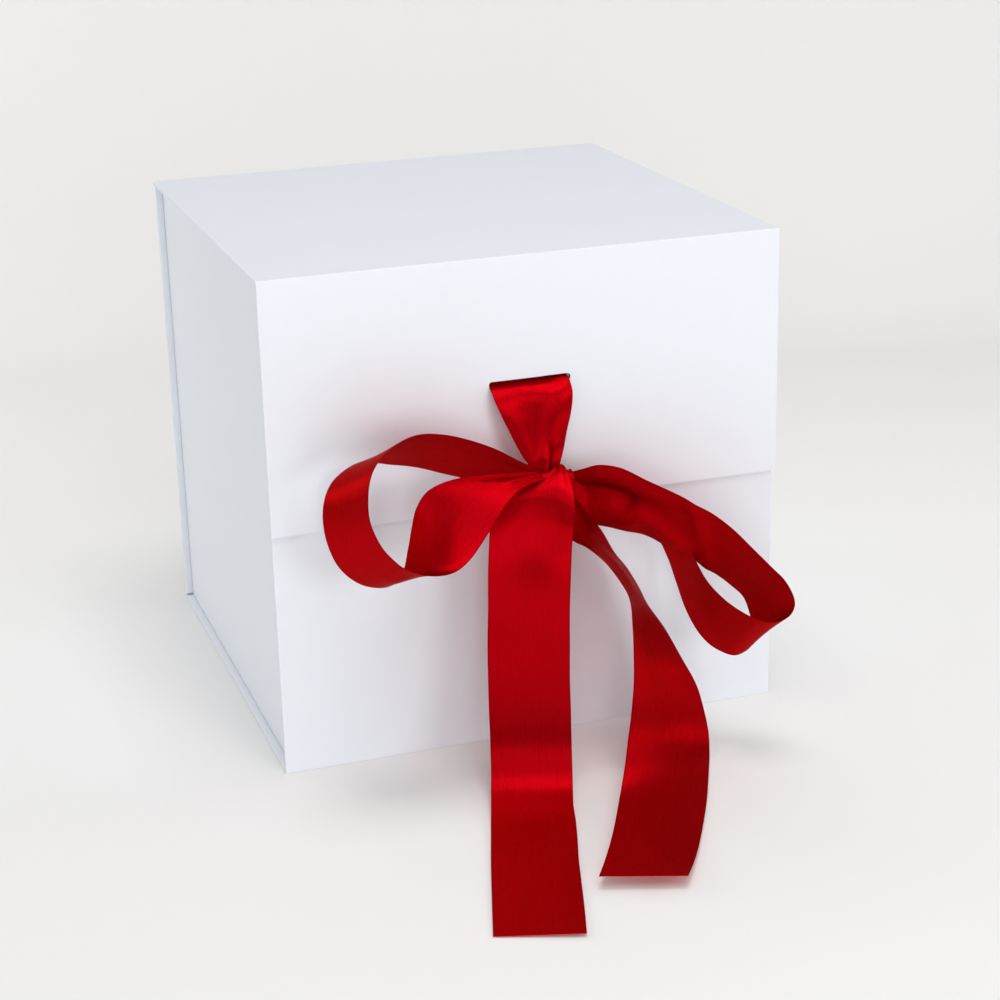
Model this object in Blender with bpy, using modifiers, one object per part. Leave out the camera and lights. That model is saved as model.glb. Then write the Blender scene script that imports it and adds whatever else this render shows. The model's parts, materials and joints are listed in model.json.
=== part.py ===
"""Magnetic gift box tied with a satin ribbon.

A flat-packed rigid box: greyboard panels in wrapping paper, folded up and held by self-adhesive tabs,
with a hinged lid, a front flap that closes on magnets, and one ribbon tied in a bow round the flap.
Metres, +Z up. The origin is the centre of the underside, and the front faces -Y.
"""

import math

import bmesh
import bpy
from mathutils import Matrix, Vector

MM = 0.001

# Box sizes
INNER_WIDTH = 220 * MM
INNER_DEPTH = 220 * MM
BOX_HEIGHT = 221 * MM
FLAP_HEIGHT = 110.5 * MM
OVERHANG = 3.9 * MM
LOWER_INSET = 0.6 * MM

# Layers of one panel
PAPER = 0.15 * MM
GLUE_LINE = 0.05 * MM
BOARD = 1.5 * MM
WRAPPED = PAPER + GLUE_LINE + BOARD + GLUE_LINE + PAPER
PANEL = WRAPPED + GLUE_LINE + PAPER
TURN_IN = 15 * MM
LINER_MARGIN = 3 * MM
PAPER_FOLD_RADIUS = 0.4 * MM
FOLD_SEGMENTS = 2

# Clearances
FIT = 0.3 * MM
CORNER_GAP = 0.3 * MM
FLAP_GAP = 0.9 * MM
INSERT_GAP = 0.5 * MM
CUT_OVERRUN = 2 * MM

# Places worked out from the sizes
BOARD_SETBACK = PANEL + FIT
CASE_HALF = INNER_WIDTH / 2 + PANEL + OVERHANG
LOWER_HALF = CASE_HALF - LOWER_INSET
BACK_Y = INNER_DEPTH / 2 + PANEL
FRONT_Y = -BACK_Y
FLAP_Y = FRONT_Y - FLAP_GAP - PANEL
WALL_TOP = BOX_HEIGHT - BOARD_SETBACK
FLAP_BOTTOM = BOX_HEIGHT - FLAP_HEIGHT

# Corner and base tabs of the side walls
TAB_WIDTH = 18 * MM
TAB_THICKNESS = 0.3 * MM
TAPE_THICKNESS = 0.1 * MM
TAB_END_MARGIN = 6 * MM
TAPE_MARGIN = 1 * MM
INSERT_THICKNESS = 1.5 * MM
TAPE_BOTTOM = GLUE_LINE
TAB_BOTTOM = TAPE_BOTTOM + TAPE_THICKNESS + GLUE_LINE
TAB_TOP = TAB_BOTTOM + TAB_THICKNESS

# Magnets in the flap and steel discs in the front
DISC_RADIUS = 7.5 * MM
DISC_THICKNESS = 1 * MM
DISC_CLEARANCE = 0.1 * MM
DISC_INSET = 41 * MM
DISC_RISE = 20 * MM
DISC_SEGMENTS = 32

# Ribbon and its slot
RIBBON_WIDTH = 35 * MM
RIBBON_THICKNESS = 0.3 * MM
RIBBON_ACROSS = 4
SLOT_CLEARANCE = 1.8 * MM
SLOT_HEIGHT = 3.2 * MM
SLOT_LIFT = 0.9 * MM
SLOT_SEGMENTS = 5
SLOT_ROUNDNESS_SHARE = 0.49
SLOT_WIDTH = RIBBON_WIDTH + SLOT_CLEARANCE
SLOT_Z = FLAP_BOTTOM + FLAP_HEIGHT / 2

# Knot: its centre and its size across, out from the flap, and up
KNOT_SIDE = 5.6 * MM
KNOT_OUT = 18.5 * MM
KNOT_RISE = 14.8 * MM
KNOT_WIDTH = 13.6 * MM
KNOT_DEPTH = 14 * MM
KNOT_HEIGHT = 13.6 * MM
KNOT_Z = FLAP_BOTTOM + KNOT_RISE
KNOT_UNDERSIDE = KNOT_Z - KNOT_HEIGHT / 2

# Where the upper strand meets the knot, as a share of the knot's height over its centre
KNOT_TOP_SHARE = 0.4

# Steps along each ribbon piece
LOOP_STEPS = 72
TAIL_STEPS = 48
SHORT_STEPS = 20
BEND_STEPS = 10

# The bow's loops: (across, out, up) of the near edge and of the far edge,
# in ribbon widths from the knot's centre
LEFT_LOOP_SHARES = (
    ((-0.22, 0.00, 0.19), (-0.20, -0.19, 0.00)),
    ((-0.54, 0.16, 0.39), (-0.48, -0.27, 0.00)),
    ((-0.92, 0.33, 0.65), (-0.92, -0.27, 0.06)),
    ((-1.29, 0.47, 0.85), (-1.34, -0.24, 0.21)),
    ((-1.63, 0.59, 0.99), (-1.74, -0.19, 0.37)),
    ((-1.95, 0.70, 1.06), (-2.10, -0.10, 0.48)),
    ((-2.24, 0.81, 1.02), (-2.46, -0.01, 0.58)),
    ((-2.49, 0.93, 0.89), (-2.77, 0.10, 0.49)),
    ((-2.63, 1.01, 0.70), (-2.95, 0.21, 0.33)),
    ((-2.69, 1.10, 0.44), (-3.03, 0.30, 0.07)),
    ((-2.68, 1.16, 0.21), (-3.00, 0.36, -0.26)),
    ((-2.58, 1.19, -0.05), (-2.87, 0.39, -0.57)),
    ((-2.44, 1.19, -0.24), (-2.62, 0.39, -0.80)),
    ((-2.28, 1.19, -0.38), (-2.30, 0.36, -0.88)),
    ((-2.01, 1.16, -0.50), (-2.11, 0.33, -0.74)),
    ((-1.72, 1.10, -0.53), (-2.04, 0.36, -0.46)),
    ((-1.48, 1.01, -0.44), (-1.99, 0.41, -0.15)),
    ((-1.21, 0.84, -0.24), (-1.94, 0.47, 0.10)),
    ((-0.96, 0.67, -0.02), (-1.78, 0.47, 0.29)),
    ((-0.76, 0.53, 0.10), (-1.47, 0.39, 0.35)),
    ((-0.56, 0.39, 0.14), (-1.07, 0.30, 0.33)),
    ((-0.34, 0.27, 0.15), (-0.57, 0.21, 0.25)),
)
RIGHT_LOOP_SHARES = (
    ((0.21, -0.04, 0.06), (0.25, -0.19, -0.18)),
    ((0.29, 0.10, 0.17), (0.40, -0.36, -0.47)),
    ((0.43, 0.27, 0.25), (0.53, -0.27, -0.64)),
    ((0.66, 0.41, 0.22), (0.69, -0.16, -0.70)),
    ((0.93, 0.53, 0.07), (0.91, -0.07, -0.77)),
    ((1.16, 0.64, -0.05), (1.14, -0.01, -0.85)),
    ((1.42, 0.73, -0.20), (1.35, 0.07, -0.97)),
    ((1.65, 0.84, -0.35), (1.54, 0.16, -1.08)),
    ((1.88, 0.96, -0.55), (1.72, 0.27, -1.19)),
    ((2.11, 1.07, -0.81), (1.94, 0.36, -1.36)),
    ((2.30, 1.19, -1.03), (2.12, 0.44, -1.52)),
    ((2.45, 1.27, -1.21), (2.25, 0.50, -1.67)),
    ((2.54, 1.33, -1.44), (2.32, 0.56, -1.92)),
    ((2.50, 1.33, -1.61), (2.38, 0.56, -2.13)),
    ((2.36, 1.30, -1.70), (2.37, 0.53, -2.29)),
    ((2.20, 1.24, -1.71), (2.27, 0.50, -2.40)),
    ((2.06, 1.13, -1.66), (2.12, 0.44, -2.45)),
    ((1.92, 0.96, -1.58), (1.92, 0.27, -2.36)),
    ((1.81, 0.76, -1.48), (1.79, 0.10, -2.19)),
    ((1.71, 0.56, -1.33), (1.71, -0.10, -1.94)),
    ((1.65, 0.36, -1.13), (1.64, -0.24, -1.61)),
    ((1.61, 0.19, -0.94), (1.56, -0.33, -1.30)),
    ((1.48, 0.01, -0.74), (1.42, -0.41, -1.01)),
    ((1.21, -0.10, -0.53), (1.09, -0.41, -0.78)),
    ((0.80, -0.19, -0.32), (0.71, -0.40, -0.56)),
    ((0.46, -0.21, -0.15), (0.44, -0.36, -0.35)),
)

# The tails: (across, out) in ribbon widths from the knot, and the height above the surface
# that the box stands on, as a share of the height of the knot's centre for the front tail
# and of its underside for the right one
FRONT_TAIL_SHARES = (
    ((-0.12, 0.21, 1.02), (-0.01, 0.22, 1.02)),
    ((-0.42, 0.33, 1.02), (0.03, 0.34, 1.02)),
    ((-0.68, 0.32, 1.00), (-0.02, 0.50, 1.00)),
    ((-0.88, 0.27, 0.94), (-0.06, 0.59, 0.94)),
    ((-1.00, 0.30, 0.86), (-0.07, 0.61, 0.86)),
    ((-1.03, 0.30, 0.74), (-0.10, 0.64, 0.73)),
    ((-1.06, 0.30, 0.61), (-0.12, 0.64, 0.60)),
    ((-1.08, 0.33, 0.49), (-0.14, 0.67, 0.48)),
    ((-1.16, 0.53, 0.38), (-0.22, 0.87, 0.38)),
    ((-1.27, 0.84, 0.29), (-0.33, 1.19, 0.29)),
    ((-1.38, 1.16, 0.21), (-0.44, 1.50, 0.21)),
    ((-1.48, 1.47, 0.13), (-0.55, 1.81, 0.13)),
    ((-1.63, 1.93, 0.07), (-0.69, 2.27, 0.07)),
    ((-1.88, 2.73, 0.04), (-0.93, 3.04, 0.04)),
    ((-2.12, 3.50, 0.02), (-1.17, 3.81, 0.02)),
    ((-2.29, 4.04, 0.005), (-1.33, 4.34, 0.005)),
)
RIGHT_TAIL_SHARES = (
    ((0.02, 0.04, 0.995), (0.27, -0.12, 0.96)),
    ((-0.02, 0.20, 0.94), (0.46, -0.20, 0.87)),
    ((0.01, 0.40, 0.88), (0.63, -0.24, 0.80)),
    ((0.17, 0.50, 0.85), (0.80, -0.22, 0.73)),
    ((0.35, 0.60, 0.80), (0.94, -0.16, 0.67)),
    ((0.51, 0.68, 0.73), (1.06, -0.07, 0.60)),
    ((0.61, 0.78, 0.66), (1.13, 0.06, 0.54)),
    ((0.61, 0.87, 0.56), (1.26, 0.27, 0.465)),
    ((0.57, 0.99, 0.465), (1.39, 0.53, 0.37)),
    ((0.52, 1.12, 0.36), (1.47, 0.84, 0.295)),
    ((0.39, 1.37, 0.275), (1.40, 1.28, 0.255)),
    ((0.15, 1.81, 0.235), (1.20, 1.81, 0.235)),
    ((-0.19, 2.50, 0.22), (0.83, 2.61, 0.235)),
    ((-0.56, 3.24, 0.21), (0.45, 3.41, 0.235)),
    ((-0.78, 3.56, 0.15), (0.19, 3.84, 0.18)),
    ((-0.86, 3.61, 0.095), (0.08, 3.93, 0.105)),
    ((-0.87, 3.50, 0.055), (0.07, 3.81, 0.045)),
)

# The strand from the slot to the knot: half its width in ribbon widths,
# its way out and its way down as shares of the way to the knot
UPPER_STRAND_SHARES = (
    (0.50, 0.04, 0.00),
    (0.50, 0.18, 0.08),
    (0.46, 0.40, 0.24),
    (0.38, 0.60, 0.44),
    (0.30, 0.78, 0.64),
    (0.22, 0.92, 0.82),
    (0.15, 0.99, 0.95),
)
# The strand from the flap's lower edge up to the knot, in the same way
LOWER_STRAND_SHARES = (
    (0.44, 0.12, 0.10),
    (0.34, 0.40, 0.26),
    (0.22, 0.74, 0.42),
    (0.15, 0.97, 0.66),
)



def add_material(name, colour, roughness, metallic=0.0):
    """A plain Principled BSDF finish."""
    material = bpy.data.materials.new(name)
    material.use_nodes = True
    shader = material.node_tree.nodes["Principled BSDF"]
    shader.inputs["Base Color"].default_value = (*colour, 1.0)
    shader.inputs["Roughness"].default_value = roughness
    shader.inputs["Metallic"].default_value = metallic
    return material


def add_object(name, bm, group, parent, material=None):
    """Turn a bmesh into an object in a collection, placed by its parent empty."""
    bmesh.ops.recalc_face_normals(bm, faces=bm.faces)
    mesh = bpy.data.meshes.new(name)
    bm.to_mesh(mesh)
    bm.free()
    made = bpy.data.objects.new(name, mesh)
    group.objects.link(made)
    made.parent = parent
    if material:
        mesh.materials.append(material)
    return made


def add_empty(name, group, location, turn, parent=None):
    """An empty at a place in the world, turned by degrees about X, Y and Z."""
    empty = bpy.data.objects.new(name, None)
    group.objects.link(empty)
    angles = [math.radians(angle) for angle in turn]
    world = Matrix.LocRotScale(Vector(location), Matrix.Identity(3), None)
    for axis, angle in zip("XYZ", angles):
        world = world @ Matrix.Identity(4) if angle == 0 else world @ Matrix.Rotation(angle, 4, axis)
    empty.parent = parent
    if parent:
        empty.matrix_parent_inverse = parent.matrix_world.inverted()
    empty.matrix_basis = world
    bpy.context.view_layer.update()
    return empty


def block_mesh(low, high, radius=0.0, rounded=(False, False, False)):
    """A box between two corners.

    rounded says which of its sides at +-X, at low Y and at high Y are folded edges; an edge between
    such sides, or between one and the top or bottom, is rounded by the radius.
    """
    bm = bmesh.new()
    bmesh.ops.create_cube(bm, size=1.0)
    low, high = Vector(low), Vector(high)
    for vertex in bm.verts:
        vertex.co = Vector(low[i] if vertex.co[i] < 0 else high[i] for i in range(3))
    if not radius or not any(rounded):
        return bm
    middle = (low + high) / 2
    chosen = []
    for edge in bm.edges:
        centre = (edge.verts[0].co + edge.verts[1].co) / 2 - middle
        span = edge.verts[0].co - edge.verts[1].co
        across = abs(span.x) > 0 or rounded[0]
        along = abs(span.y) > 0 or (rounded[1] if centre.y < 0 else rounded[2])
        if across and along:
            chosen.append(edge)
    bmesh.ops.bevel(bm, geom=chosen, offset=radius, segments=FOLD_SEGMENTS, profile=0.5, affect="EDGES")
    return bm


def cylinder_mesh(centre, radius, thickness):
    """A disc whose axis is Z, from its lower face's centre."""
    bm = bmesh.new()
    bmesh.ops.create_cone(
        bm, cap_ends=True, segments=DISC_SEGMENTS, radius1=radius, radius2=radius, depth=thickness
    )
    bmesh.ops.translate(bm, verts=bm.verts, vec=Vector(centre) + Vector((0, 0, thickness / 2)))
    return bm


def cut(target, name, bm, cutters):
    """Take a shape out of a piece with a Boolean modifier."""
    cutter = add_object(name, bm, cutters, target.parent)
    cutter.hide_render = True
    cutter.display_type = "WIRE"
    boolean = target.modifiers.new(name, "BOOLEAN")
    boolean.operation = "DIFFERENCE"
    boolean.solver = "EXACT"
    boolean.object = cutter


def panel_board(name, half, length, sides, start, end, place, extra=0.0):
    """The greyboard of a panel. half and length are the outer sizes of the wrapped panel."""
    inset = {"turned": PAPER + GLUE_LINE, "fold": BOARD_SETBACK, "cut": 0}
    low = (-half + inset[sides], inset[start], PAPER + GLUE_LINE)
    high = (half - inset[sides], length - inset[end], PAPER + GLUE_LINE + BOARD)
    folded = [kind == "turned" for kind in (sides, start, end)]
    bm = block_mesh(low, high, PAPER_FOLD_RADIUS - PAPER - GLUE_LINE, folded)
    return add_object(name, bm, place["parts"], place["parent"], place["board"])


def panel_wrap(name, half, length, sides, start, end, place):
    """The outer paper of a panel: a sheet turned over its free edges and on to the next fold."""
    sheet = {"turned": 0, "fold": CORNER_GAP, "cut": 0}
    hollow = {"turned": PAPER, "fold": -CUT_OVERRUN, "cut": -CUT_OVERRUN}
    window = {"turned": TURN_IN, "fold": -CUT_OVERRUN, "cut": -CUT_OVERRUN}
    folded = [kind == "turned" for kind in (sides, start, end)]
    low = (-half + sheet[sides], sheet[start], 0)
    high = (half - sheet[sides], length - sheet[end], WRAPPED)
    bm = block_mesh(low, high, PAPER_FOLD_RADIUS, folded)
    wrap = add_object(name, bm, place["parts"], place["parent"], place["paper"])
    low = (-half + hollow[sides], hollow[start], PAPER)
    high = (half - hollow[sides], length - hollow[end], WRAPPED - PAPER)
    bm = block_mesh(low, high, PAPER_FOLD_RADIUS - PAPER, folded)
    cut(wrap, name + "_hollow_cut", bm, place["cutters"])
    low = (-half + window[sides], window[start], WRAPPED / 2)
    high = (half - window[sides], length - window[end], WRAPPED + CUT_OVERRUN)
    cut(wrap, name + "_window_cut", block_mesh(low, high), place["cutters"])
    beyond = half + CUT_OVERRUN
    if start == "fold":
        low = (-beyond, -CUT_OVERRUN, PAPER)
        high = (beyond, BOARD_SETBACK, WRAPPED + CUT_OVERRUN)
        cut(wrap, name + "_start_cut", block_mesh(low, high), place["cutters"])
    if end == "fold":
        low = (-beyond, length - BOARD_SETBACK, PAPER)
        high = (beyond, length + CUT_OVERRUN, WRAPPED + CUT_OVERRUN)
        cut(wrap, name + "_end_cut", block_mesh(low, high), place["cutters"])
    return wrap


def panel_liner(name, half, start, end, place):
    """A flat lining paper on the inner face of a panel."""
    bm = block_mesh((-half, start, WRAPPED + GLUE_LINE), (half, end, PANEL))
    return add_object(name, bm, place["parts"], place["parent"], place["liner"])


def make_tray(place):
    """Base, front and back panels, each in its own flat frame."""
    depth = BACK_Y - FRONT_Y
    liner_half = INNER_WIDTH / 2 - FIT
    spot = dict(place, parent=add_empty("base_frame", place["parts"], (0, FRONT_Y, 0), (0, 0, 0)))
    panel_board("base_board", LOWER_HALF, depth, "turned", "fold", "fold", spot)
    panel_wrap("base_wrap", LOWER_HALF, depth, "turned", "fold", "fold", spot)

    spot["parent"] = add_empty("front_frame", place["parts"], (0, FRONT_Y, WALL_TOP), (-90, 0, 0))
    front = panel_board("front_board", LOWER_HALF, WALL_TOP, "turned", "turned", "fold", spot)
    panel_wrap("front_wrap", LOWER_HALF, WALL_TOP, "turned", "turned", "fold", spot)
    panel_liner("front_liner", liner_half, LINER_MARGIN, WALL_TOP - BOARD_SETBACK, spot)
    down = WALL_TOP - FLAP_BOTTOM - DISC_RISE
    add_discs("front_plate", front, down, PAPER + GLUE_LINE, True, spot)

    spot["parent"] = add_empty("back_frame", place["parts"], (0, BACK_Y, 0), (90, 0, 0))
    panel_board("back_board", LOWER_HALF, BOX_HEIGHT, "turned", "fold", "fold", spot)
    panel_wrap("back_wrap", LOWER_HALF, BOX_HEIGHT, "turned", "fold", "fold", spot)
    panel_liner("back_liner", liner_half, BOARD_SETBACK, WALL_TOP - LINER_MARGIN, spot)


def add_discs(name, board, along, face, opens_out, place):
    """Two discs let into a board, in pockets that open on its outer or inner face."""
    pocket_depth = DISC_THICKNESS + DISC_CLEARANCE
    sink = DISC_CLEARANCE / 2
    for side, sign in (("left", -1), ("right", 1)):
        centre_x = sign * (CASE_HALF - DISC_INSET)
        bottom = face + sink if opens_out else face - sink - DISC_THICKNESS
        bm = cylinder_mesh((centre_x, along, bottom), DISC_RADIUS, DISC_THICKNESS)
        add_object(name + "_" + side, bm, place["parts"], place["parent"], place["steel"])
        pocket_radius = DISC_RADIUS + DISC_CLEARANCE
        low = face - CUT_OVERRUN if opens_out else face - pocket_depth
        bm = cylinder_mesh((centre_x, along, low), pocket_radius, pocket_depth + CUT_OVERRUN)
        cut(board, name + "_" + side + "_pocket_cut", bm, place["cutters"])


def make_side_wall(side, sign, place):
    """One side wall with its papers, its three tabs and the tape under each."""
    half = INNER_DEPTH / 2 + PAPER + GLUE_LINE - FIT
    bottom = WRAPPED + FIT
    height = WALL_TOP - bottom
    face_x = sign * (INNER_WIDTH / 2 + PANEL)
    turn_z = 90 if sign < 0 else -90
    frame = add_empty(side + "_wall_frame", place["parts"], (face_x, 0, bottom), (0, 0, 0))
    frame.matrix_basis = (
        Matrix.Translation((face_x, 0, bottom))
        @ Matrix.Rotation(math.radians(turn_z), 4, "Z")
        @ Matrix.Rotation(math.radians(90), 4, "X")
    )
    bpy.context.view_layer.update()
    spot = dict(place, parent=frame)
    panel_board(side + "_wall_board", half, height, "cut", "cut", "turned", spot)
    panel_wrap(side + "_wall_wrap", half, height, "cut", "cut", "turned", spot)
    liner_half = INNER_DEPTH / 2 - FIT
    panel_liner(side + "_wall_liner", liner_half, 0, height - LINER_MARGIN, spot)

    inner_x = INNER_WIDTH / 2 - FIT
    ends = sorted((sign * inner_x, sign * (inner_x - TAB_WIDTH)))
    tape_ends = (ends[0] + TAPE_MARGIN, ends[1] - TAPE_MARGIN)
    low_z = WRAPPED + TAB_TOP + INSERT_THICKNESS + TAB_END_MARGIN
    high_z = WALL_TOP - TAB_END_MARGIN
    for end_name, end_sign in (("front", -1), ("back", 1)):
        face = end_sign * INNER_DEPTH / 2
        name = side + "_" + end_name + "_tab"
        layer = sorted((face - end_sign * TAB_BOTTOM, face - end_sign * TAB_TOP))
        low = (ends[0], layer[0], low_z)
        high = (ends[1], layer[1], high_z)
        add_object(name, block_mesh(low, high), place["parts"], None, place["paper"])
        layer = sorted((face - end_sign * TAPE_BOTTOM, face - end_sign * (TAPE_BOTTOM + TAPE_THICKNESS)))
        low = (tape_ends[0], layer[0], low_z + TAPE_MARGIN)
        high = (tape_ends[1], layer[1], high_z - TAPE_MARGIN)
        add_object(name + "_tape", block_mesh(low, high), place["parts"], None, place["tape"])

    reach = INNER_DEPTH / 2 - TAB_END_MARGIN
    low = (ends[0], -reach, WRAPPED + TAB_BOTTOM)
    high = (ends[1], reach, WRAPPED + TAB_TOP)
    add_object(side + "_base_tab", block_mesh(low, high), place["parts"], None, place["paper"])
    low = (tape_ends[0], -reach + TAPE_MARGIN, WRAPPED + TAPE_BOTTOM)
    high = (tape_ends[1], reach - TAPE_MARGIN, WRAPPED + TAPE_BOTTOM + TAPE_THICKNESS)
    add_object(side + "_base_tab_tape", block_mesh(low, high), place["parts"], None, place["tape"])


def make_insert(place):
    """The loose board that lies on the base tabs."""
    half_x = INNER_WIDTH / 2 - INSERT_GAP
    half_y = INNER_DEPTH / 2 - TAB_TOP - INSERT_GAP
    low_z = WRAPPED + TAB_TOP + GLUE_LINE
    bm = block_mesh((-half_x, -half_y, low_z), (half_x, half_y, low_z + INSERT_THICKNESS))
    add_object("base_insert", bm, place["parts"], None, place["paper"])


def make_lid(place):
    """The lid panel, from the back fold to the front fold, on its hinge axis."""
    axis = add_empty("lid_axis", place["parts"], (0, BACK_Y, BOX_HEIGHT), (180, 0, 0))
    spot = dict(place, parent=axis)
    length = BACK_Y - FLAP_Y
    panel_board("lid_board", CASE_HALF, length, "turned", "fold", "fold", spot)
    panel_wrap("lid_wrap", CASE_HALF, length, "turned", "fold", "fold", spot)
    margin = BOARD_SETBACK + LINER_MARGIN
    panel_liner("lid_liner", CASE_HALF - LINER_MARGIN, margin, length - margin, spot)
    return axis


def make_flap(place, lid_axis):
    """The flap panel with its slot and magnets, from the lid's fold down."""
    axis = add_empty("flap_axis", place["parts"], (0, FLAP_Y, BOX_HEIGHT), (-90, 0, 0), lid_axis)
    spot = dict(place, parent=axis)
    board = panel_board("flap_board", CASE_HALF, FLAP_HEIGHT, "turned", "fold", "turned", spot)
    wrap = panel_wrap("flap_wrap", CASE_HALF, FLAP_HEIGHT, "turned", "fold", "turned", spot)
    start = BOARD_SETBACK + LINER_MARGIN
    end = FLAP_HEIGHT - LINER_MARGIN
    liner = panel_liner("flap_liner", CASE_HALF - LINER_MARGIN, start, end, spot)
    add_discs("flap_magnet", board, FLAP_HEIGHT - DISC_RISE, WRAPPED - PAPER - GLUE_LINE, False, spot)
    for piece in (board, wrap, liner):
        cut(piece, piece.name + "_slot_cut", slot_mesh(), place["cutters"])
    return axis


def slot_mesh():
    """The round-ended slot, right through the flap, in the flap's own frame."""
    bm = bmesh.new()
    bmesh.ops.create_cube(bm, size=1.0)
    size = Vector((SLOT_WIDTH, SLOT_HEIGHT, PANEL + 2 * CUT_OVERRUN))
    for vertex in bm.verts:
        vertex.co = Vector(vertex.co[i] * size[i] for i in range(3))
    ends = [edge for edge in bm.edges if abs(edge.verts[0].co.z - edge.verts[1].co.z) > PANEL]
    radius = SLOT_HEIGHT * SLOT_ROUNDNESS_SHARE
    bmesh.ops.bevel(bm, geom=ends, offset=radius, segments=SLOT_SEGMENTS, profile=0.5, affect="EDGES")
    bmesh.ops.translate(bm, verts=bm.verts, vec=(0, BOX_HEIGHT - SLOT_Z, PANEL / 2))
    return bm


def smooth_curve(points, steps):
    """Points on a Catmull-Rom curve through the given ones, evenly spaced in its parameter."""
    first = points[0] * 2 - points[1]
    last = points[-1] * 2 - points[-2]
    padded = [first, *points, last]
    curve = []
    for step in range(steps + 1):
        place = step / steps * (len(points) - 1)
        i = min(int(place), len(points) - 2)
        t = place - i
        a, b, c, d = padded[i : i + 4]
        blend = (
            b * 2
            + (c - a) * t
            + (a * 2 - b * 5 + c * 4 - d) * t**2
            + (b * 3 - a - c * 3 + d) * t**3
        )
        curve.append(blend / 2)
    return curve


def ribbon_piece(name, near_points, far_points, steps, place):
    """A flat ribbon between two edges, given the ribbon's thickness by a Solidify modifier."""
    near = smooth_curve(near_points, steps)
    far = smooth_curve(far_points, steps)
    bm = bmesh.new()
    bmesh.ops.create_grid(bm, x_segments=RIBBON_ACROSS, y_segments=steps, size=1.0)
    for vertex in bm.verts:
        across = (vertex.co.x + 1) / 2
        row = round((vertex.co.y + 1) / 2 * steps)
        vertex.co = near[row].lerp(far[row], across)
    mesh = bpy.data.meshes.new(name)
    bm.to_mesh(mesh)
    bm.free()
    mesh.materials.append(place["satin"])
    ribbon = bpy.data.objects.new(name, mesh)
    place["parts"].objects.link(ribbon)
    ribbon.parent = place["parent"]
    ribbon.matrix_parent_inverse = place["parent"].matrix_world.inverted()
    solidify = ribbon.modifiers.new("thickness", "SOLIDIFY")
    solidify.thickness = RIBBON_THICKNESS
    solidify.offset = 0.0
    mesh.shade_smooth()
    return ribbon


def bow_point(share):
    """A point of the bow from its shares of the ribbon's width."""
    across, out, up = share
    x = KNOT_SIDE + across * RIBBON_WIDTH
    y = FLAP_Y - KNOT_OUT - out * RIBBON_WIDTH
    return Vector((x, y, KNOT_Z + up * RIBBON_WIDTH))


def tail_point(share, top=KNOT_Z):
    """A point of a tail, whose height is a share of a height at the knot."""
    across, out, up = share
    x = KNOT_SIDE + across * RIBBON_WIDTH
    y = FLAP_Y - KNOT_OUT - out * RIBBON_WIDTH
    return Vector((x, y, top * up))


def right_tail_point(share):
    """A point of the right tail, which starts under the knot."""
    return tail_point(share, KNOT_UNDERSIDE)


def make_bow(place):
    """Two loops and two tails."""
    for name, shares, steps, point in (
        ("ribbon_loop_left", LEFT_LOOP_SHARES, LOOP_STEPS, bow_point),
        ("ribbon_loop_right", RIGHT_LOOP_SHARES, LOOP_STEPS, bow_point),
        ("ribbon_tail_front", FRONT_TAIL_SHARES, TAIL_STEPS, tail_point),
        ("ribbon_tail_right", RIGHT_TAIL_SHARES, TAIL_STEPS, right_tail_point),
    ):
        near = [point(pair[0]) for pair in shares]
        far = [point(pair[1]) for pair in shares]
        ribbon_piece(name, near, far, steps, place)


def make_upper_strand(place):
    """From behind the flap through the slot and down to the knot."""
    rest_z = SLOT_Z - SLOT_HEIGHT / 2 + SLOT_LIFT
    inner_y = FLAP_Y + PANEL + FLAP_GAP / 2
    knot_top = KNOT_Z + KNOT_HEIGHT * KNOT_TOP_SHARE
    near, far = [], []
    for y in (inner_y, FLAP_Y + PANEL / 2):
        near.append(Vector((-RIBBON_WIDTH / 2, y, rest_z)))
        far.append(Vector((RIBBON_WIDTH / 2, y, rest_z)))
    for half, out, down in UPPER_STRAND_SHARES:
        centre_x = KNOT_SIDE * down
        y = FLAP_Y - KNOT_OUT * out
        z = rest_z + (knot_top - rest_z) * down
        near.append(Vector((centre_x - half * RIBBON_WIDTH, y, z)))
        far.append(Vector((centre_x + half * RIBBON_WIDTH, y, z)))
    ribbon_piece("ribbon_upper", near, far, SHORT_STEPS, place)


def make_under_strand(place):
    """Down behind the flap, round its lower edge and up to the knot."""
    bend_radius = (PANEL + FLAP_GAP) / 2
    centre_y = FLAP_Y + PANEL + FLAP_GAP / 2 - bend_radius
    top_z = SLOT_Z - SLOT_HEIGHT / 2 - FIT
    half_width = RIBBON_WIDTH / 2
    rows = [(0, half_width, centre_y + bend_radius, top_z)]
    rows.append((0, half_width, centre_y + bend_radius, (top_z + FLAP_BOTTOM) / 2))
    for step in range(BEND_STEPS + 1):
        angle = math.pi * step / BEND_STEPS
        y = centre_y + bend_radius * math.cos(angle)
        z = FLAP_BOTTOM - bend_radius * math.sin(angle)
        rows.append((0, half_width, y, z))
    front_y = centre_y - bend_radius
    for half, out, up in LOWER_STRAND_SHARES:
        y = front_y - (KNOT_OUT - KNOT_DEPTH / 2) * out
        rows.append((KNOT_SIDE * up, half * RIBBON_WIDTH, y, FLAP_BOTTOM + KNOT_RISE * up))
    near = [Vector((x - half, y, z)) for x, half, y, z in rows]
    far = [Vector((x + half, y, z)) for x, half, y, z in rows]
    ribbon_piece("ribbon_under", near, far, 2 * SHORT_STEPS, place)


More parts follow.
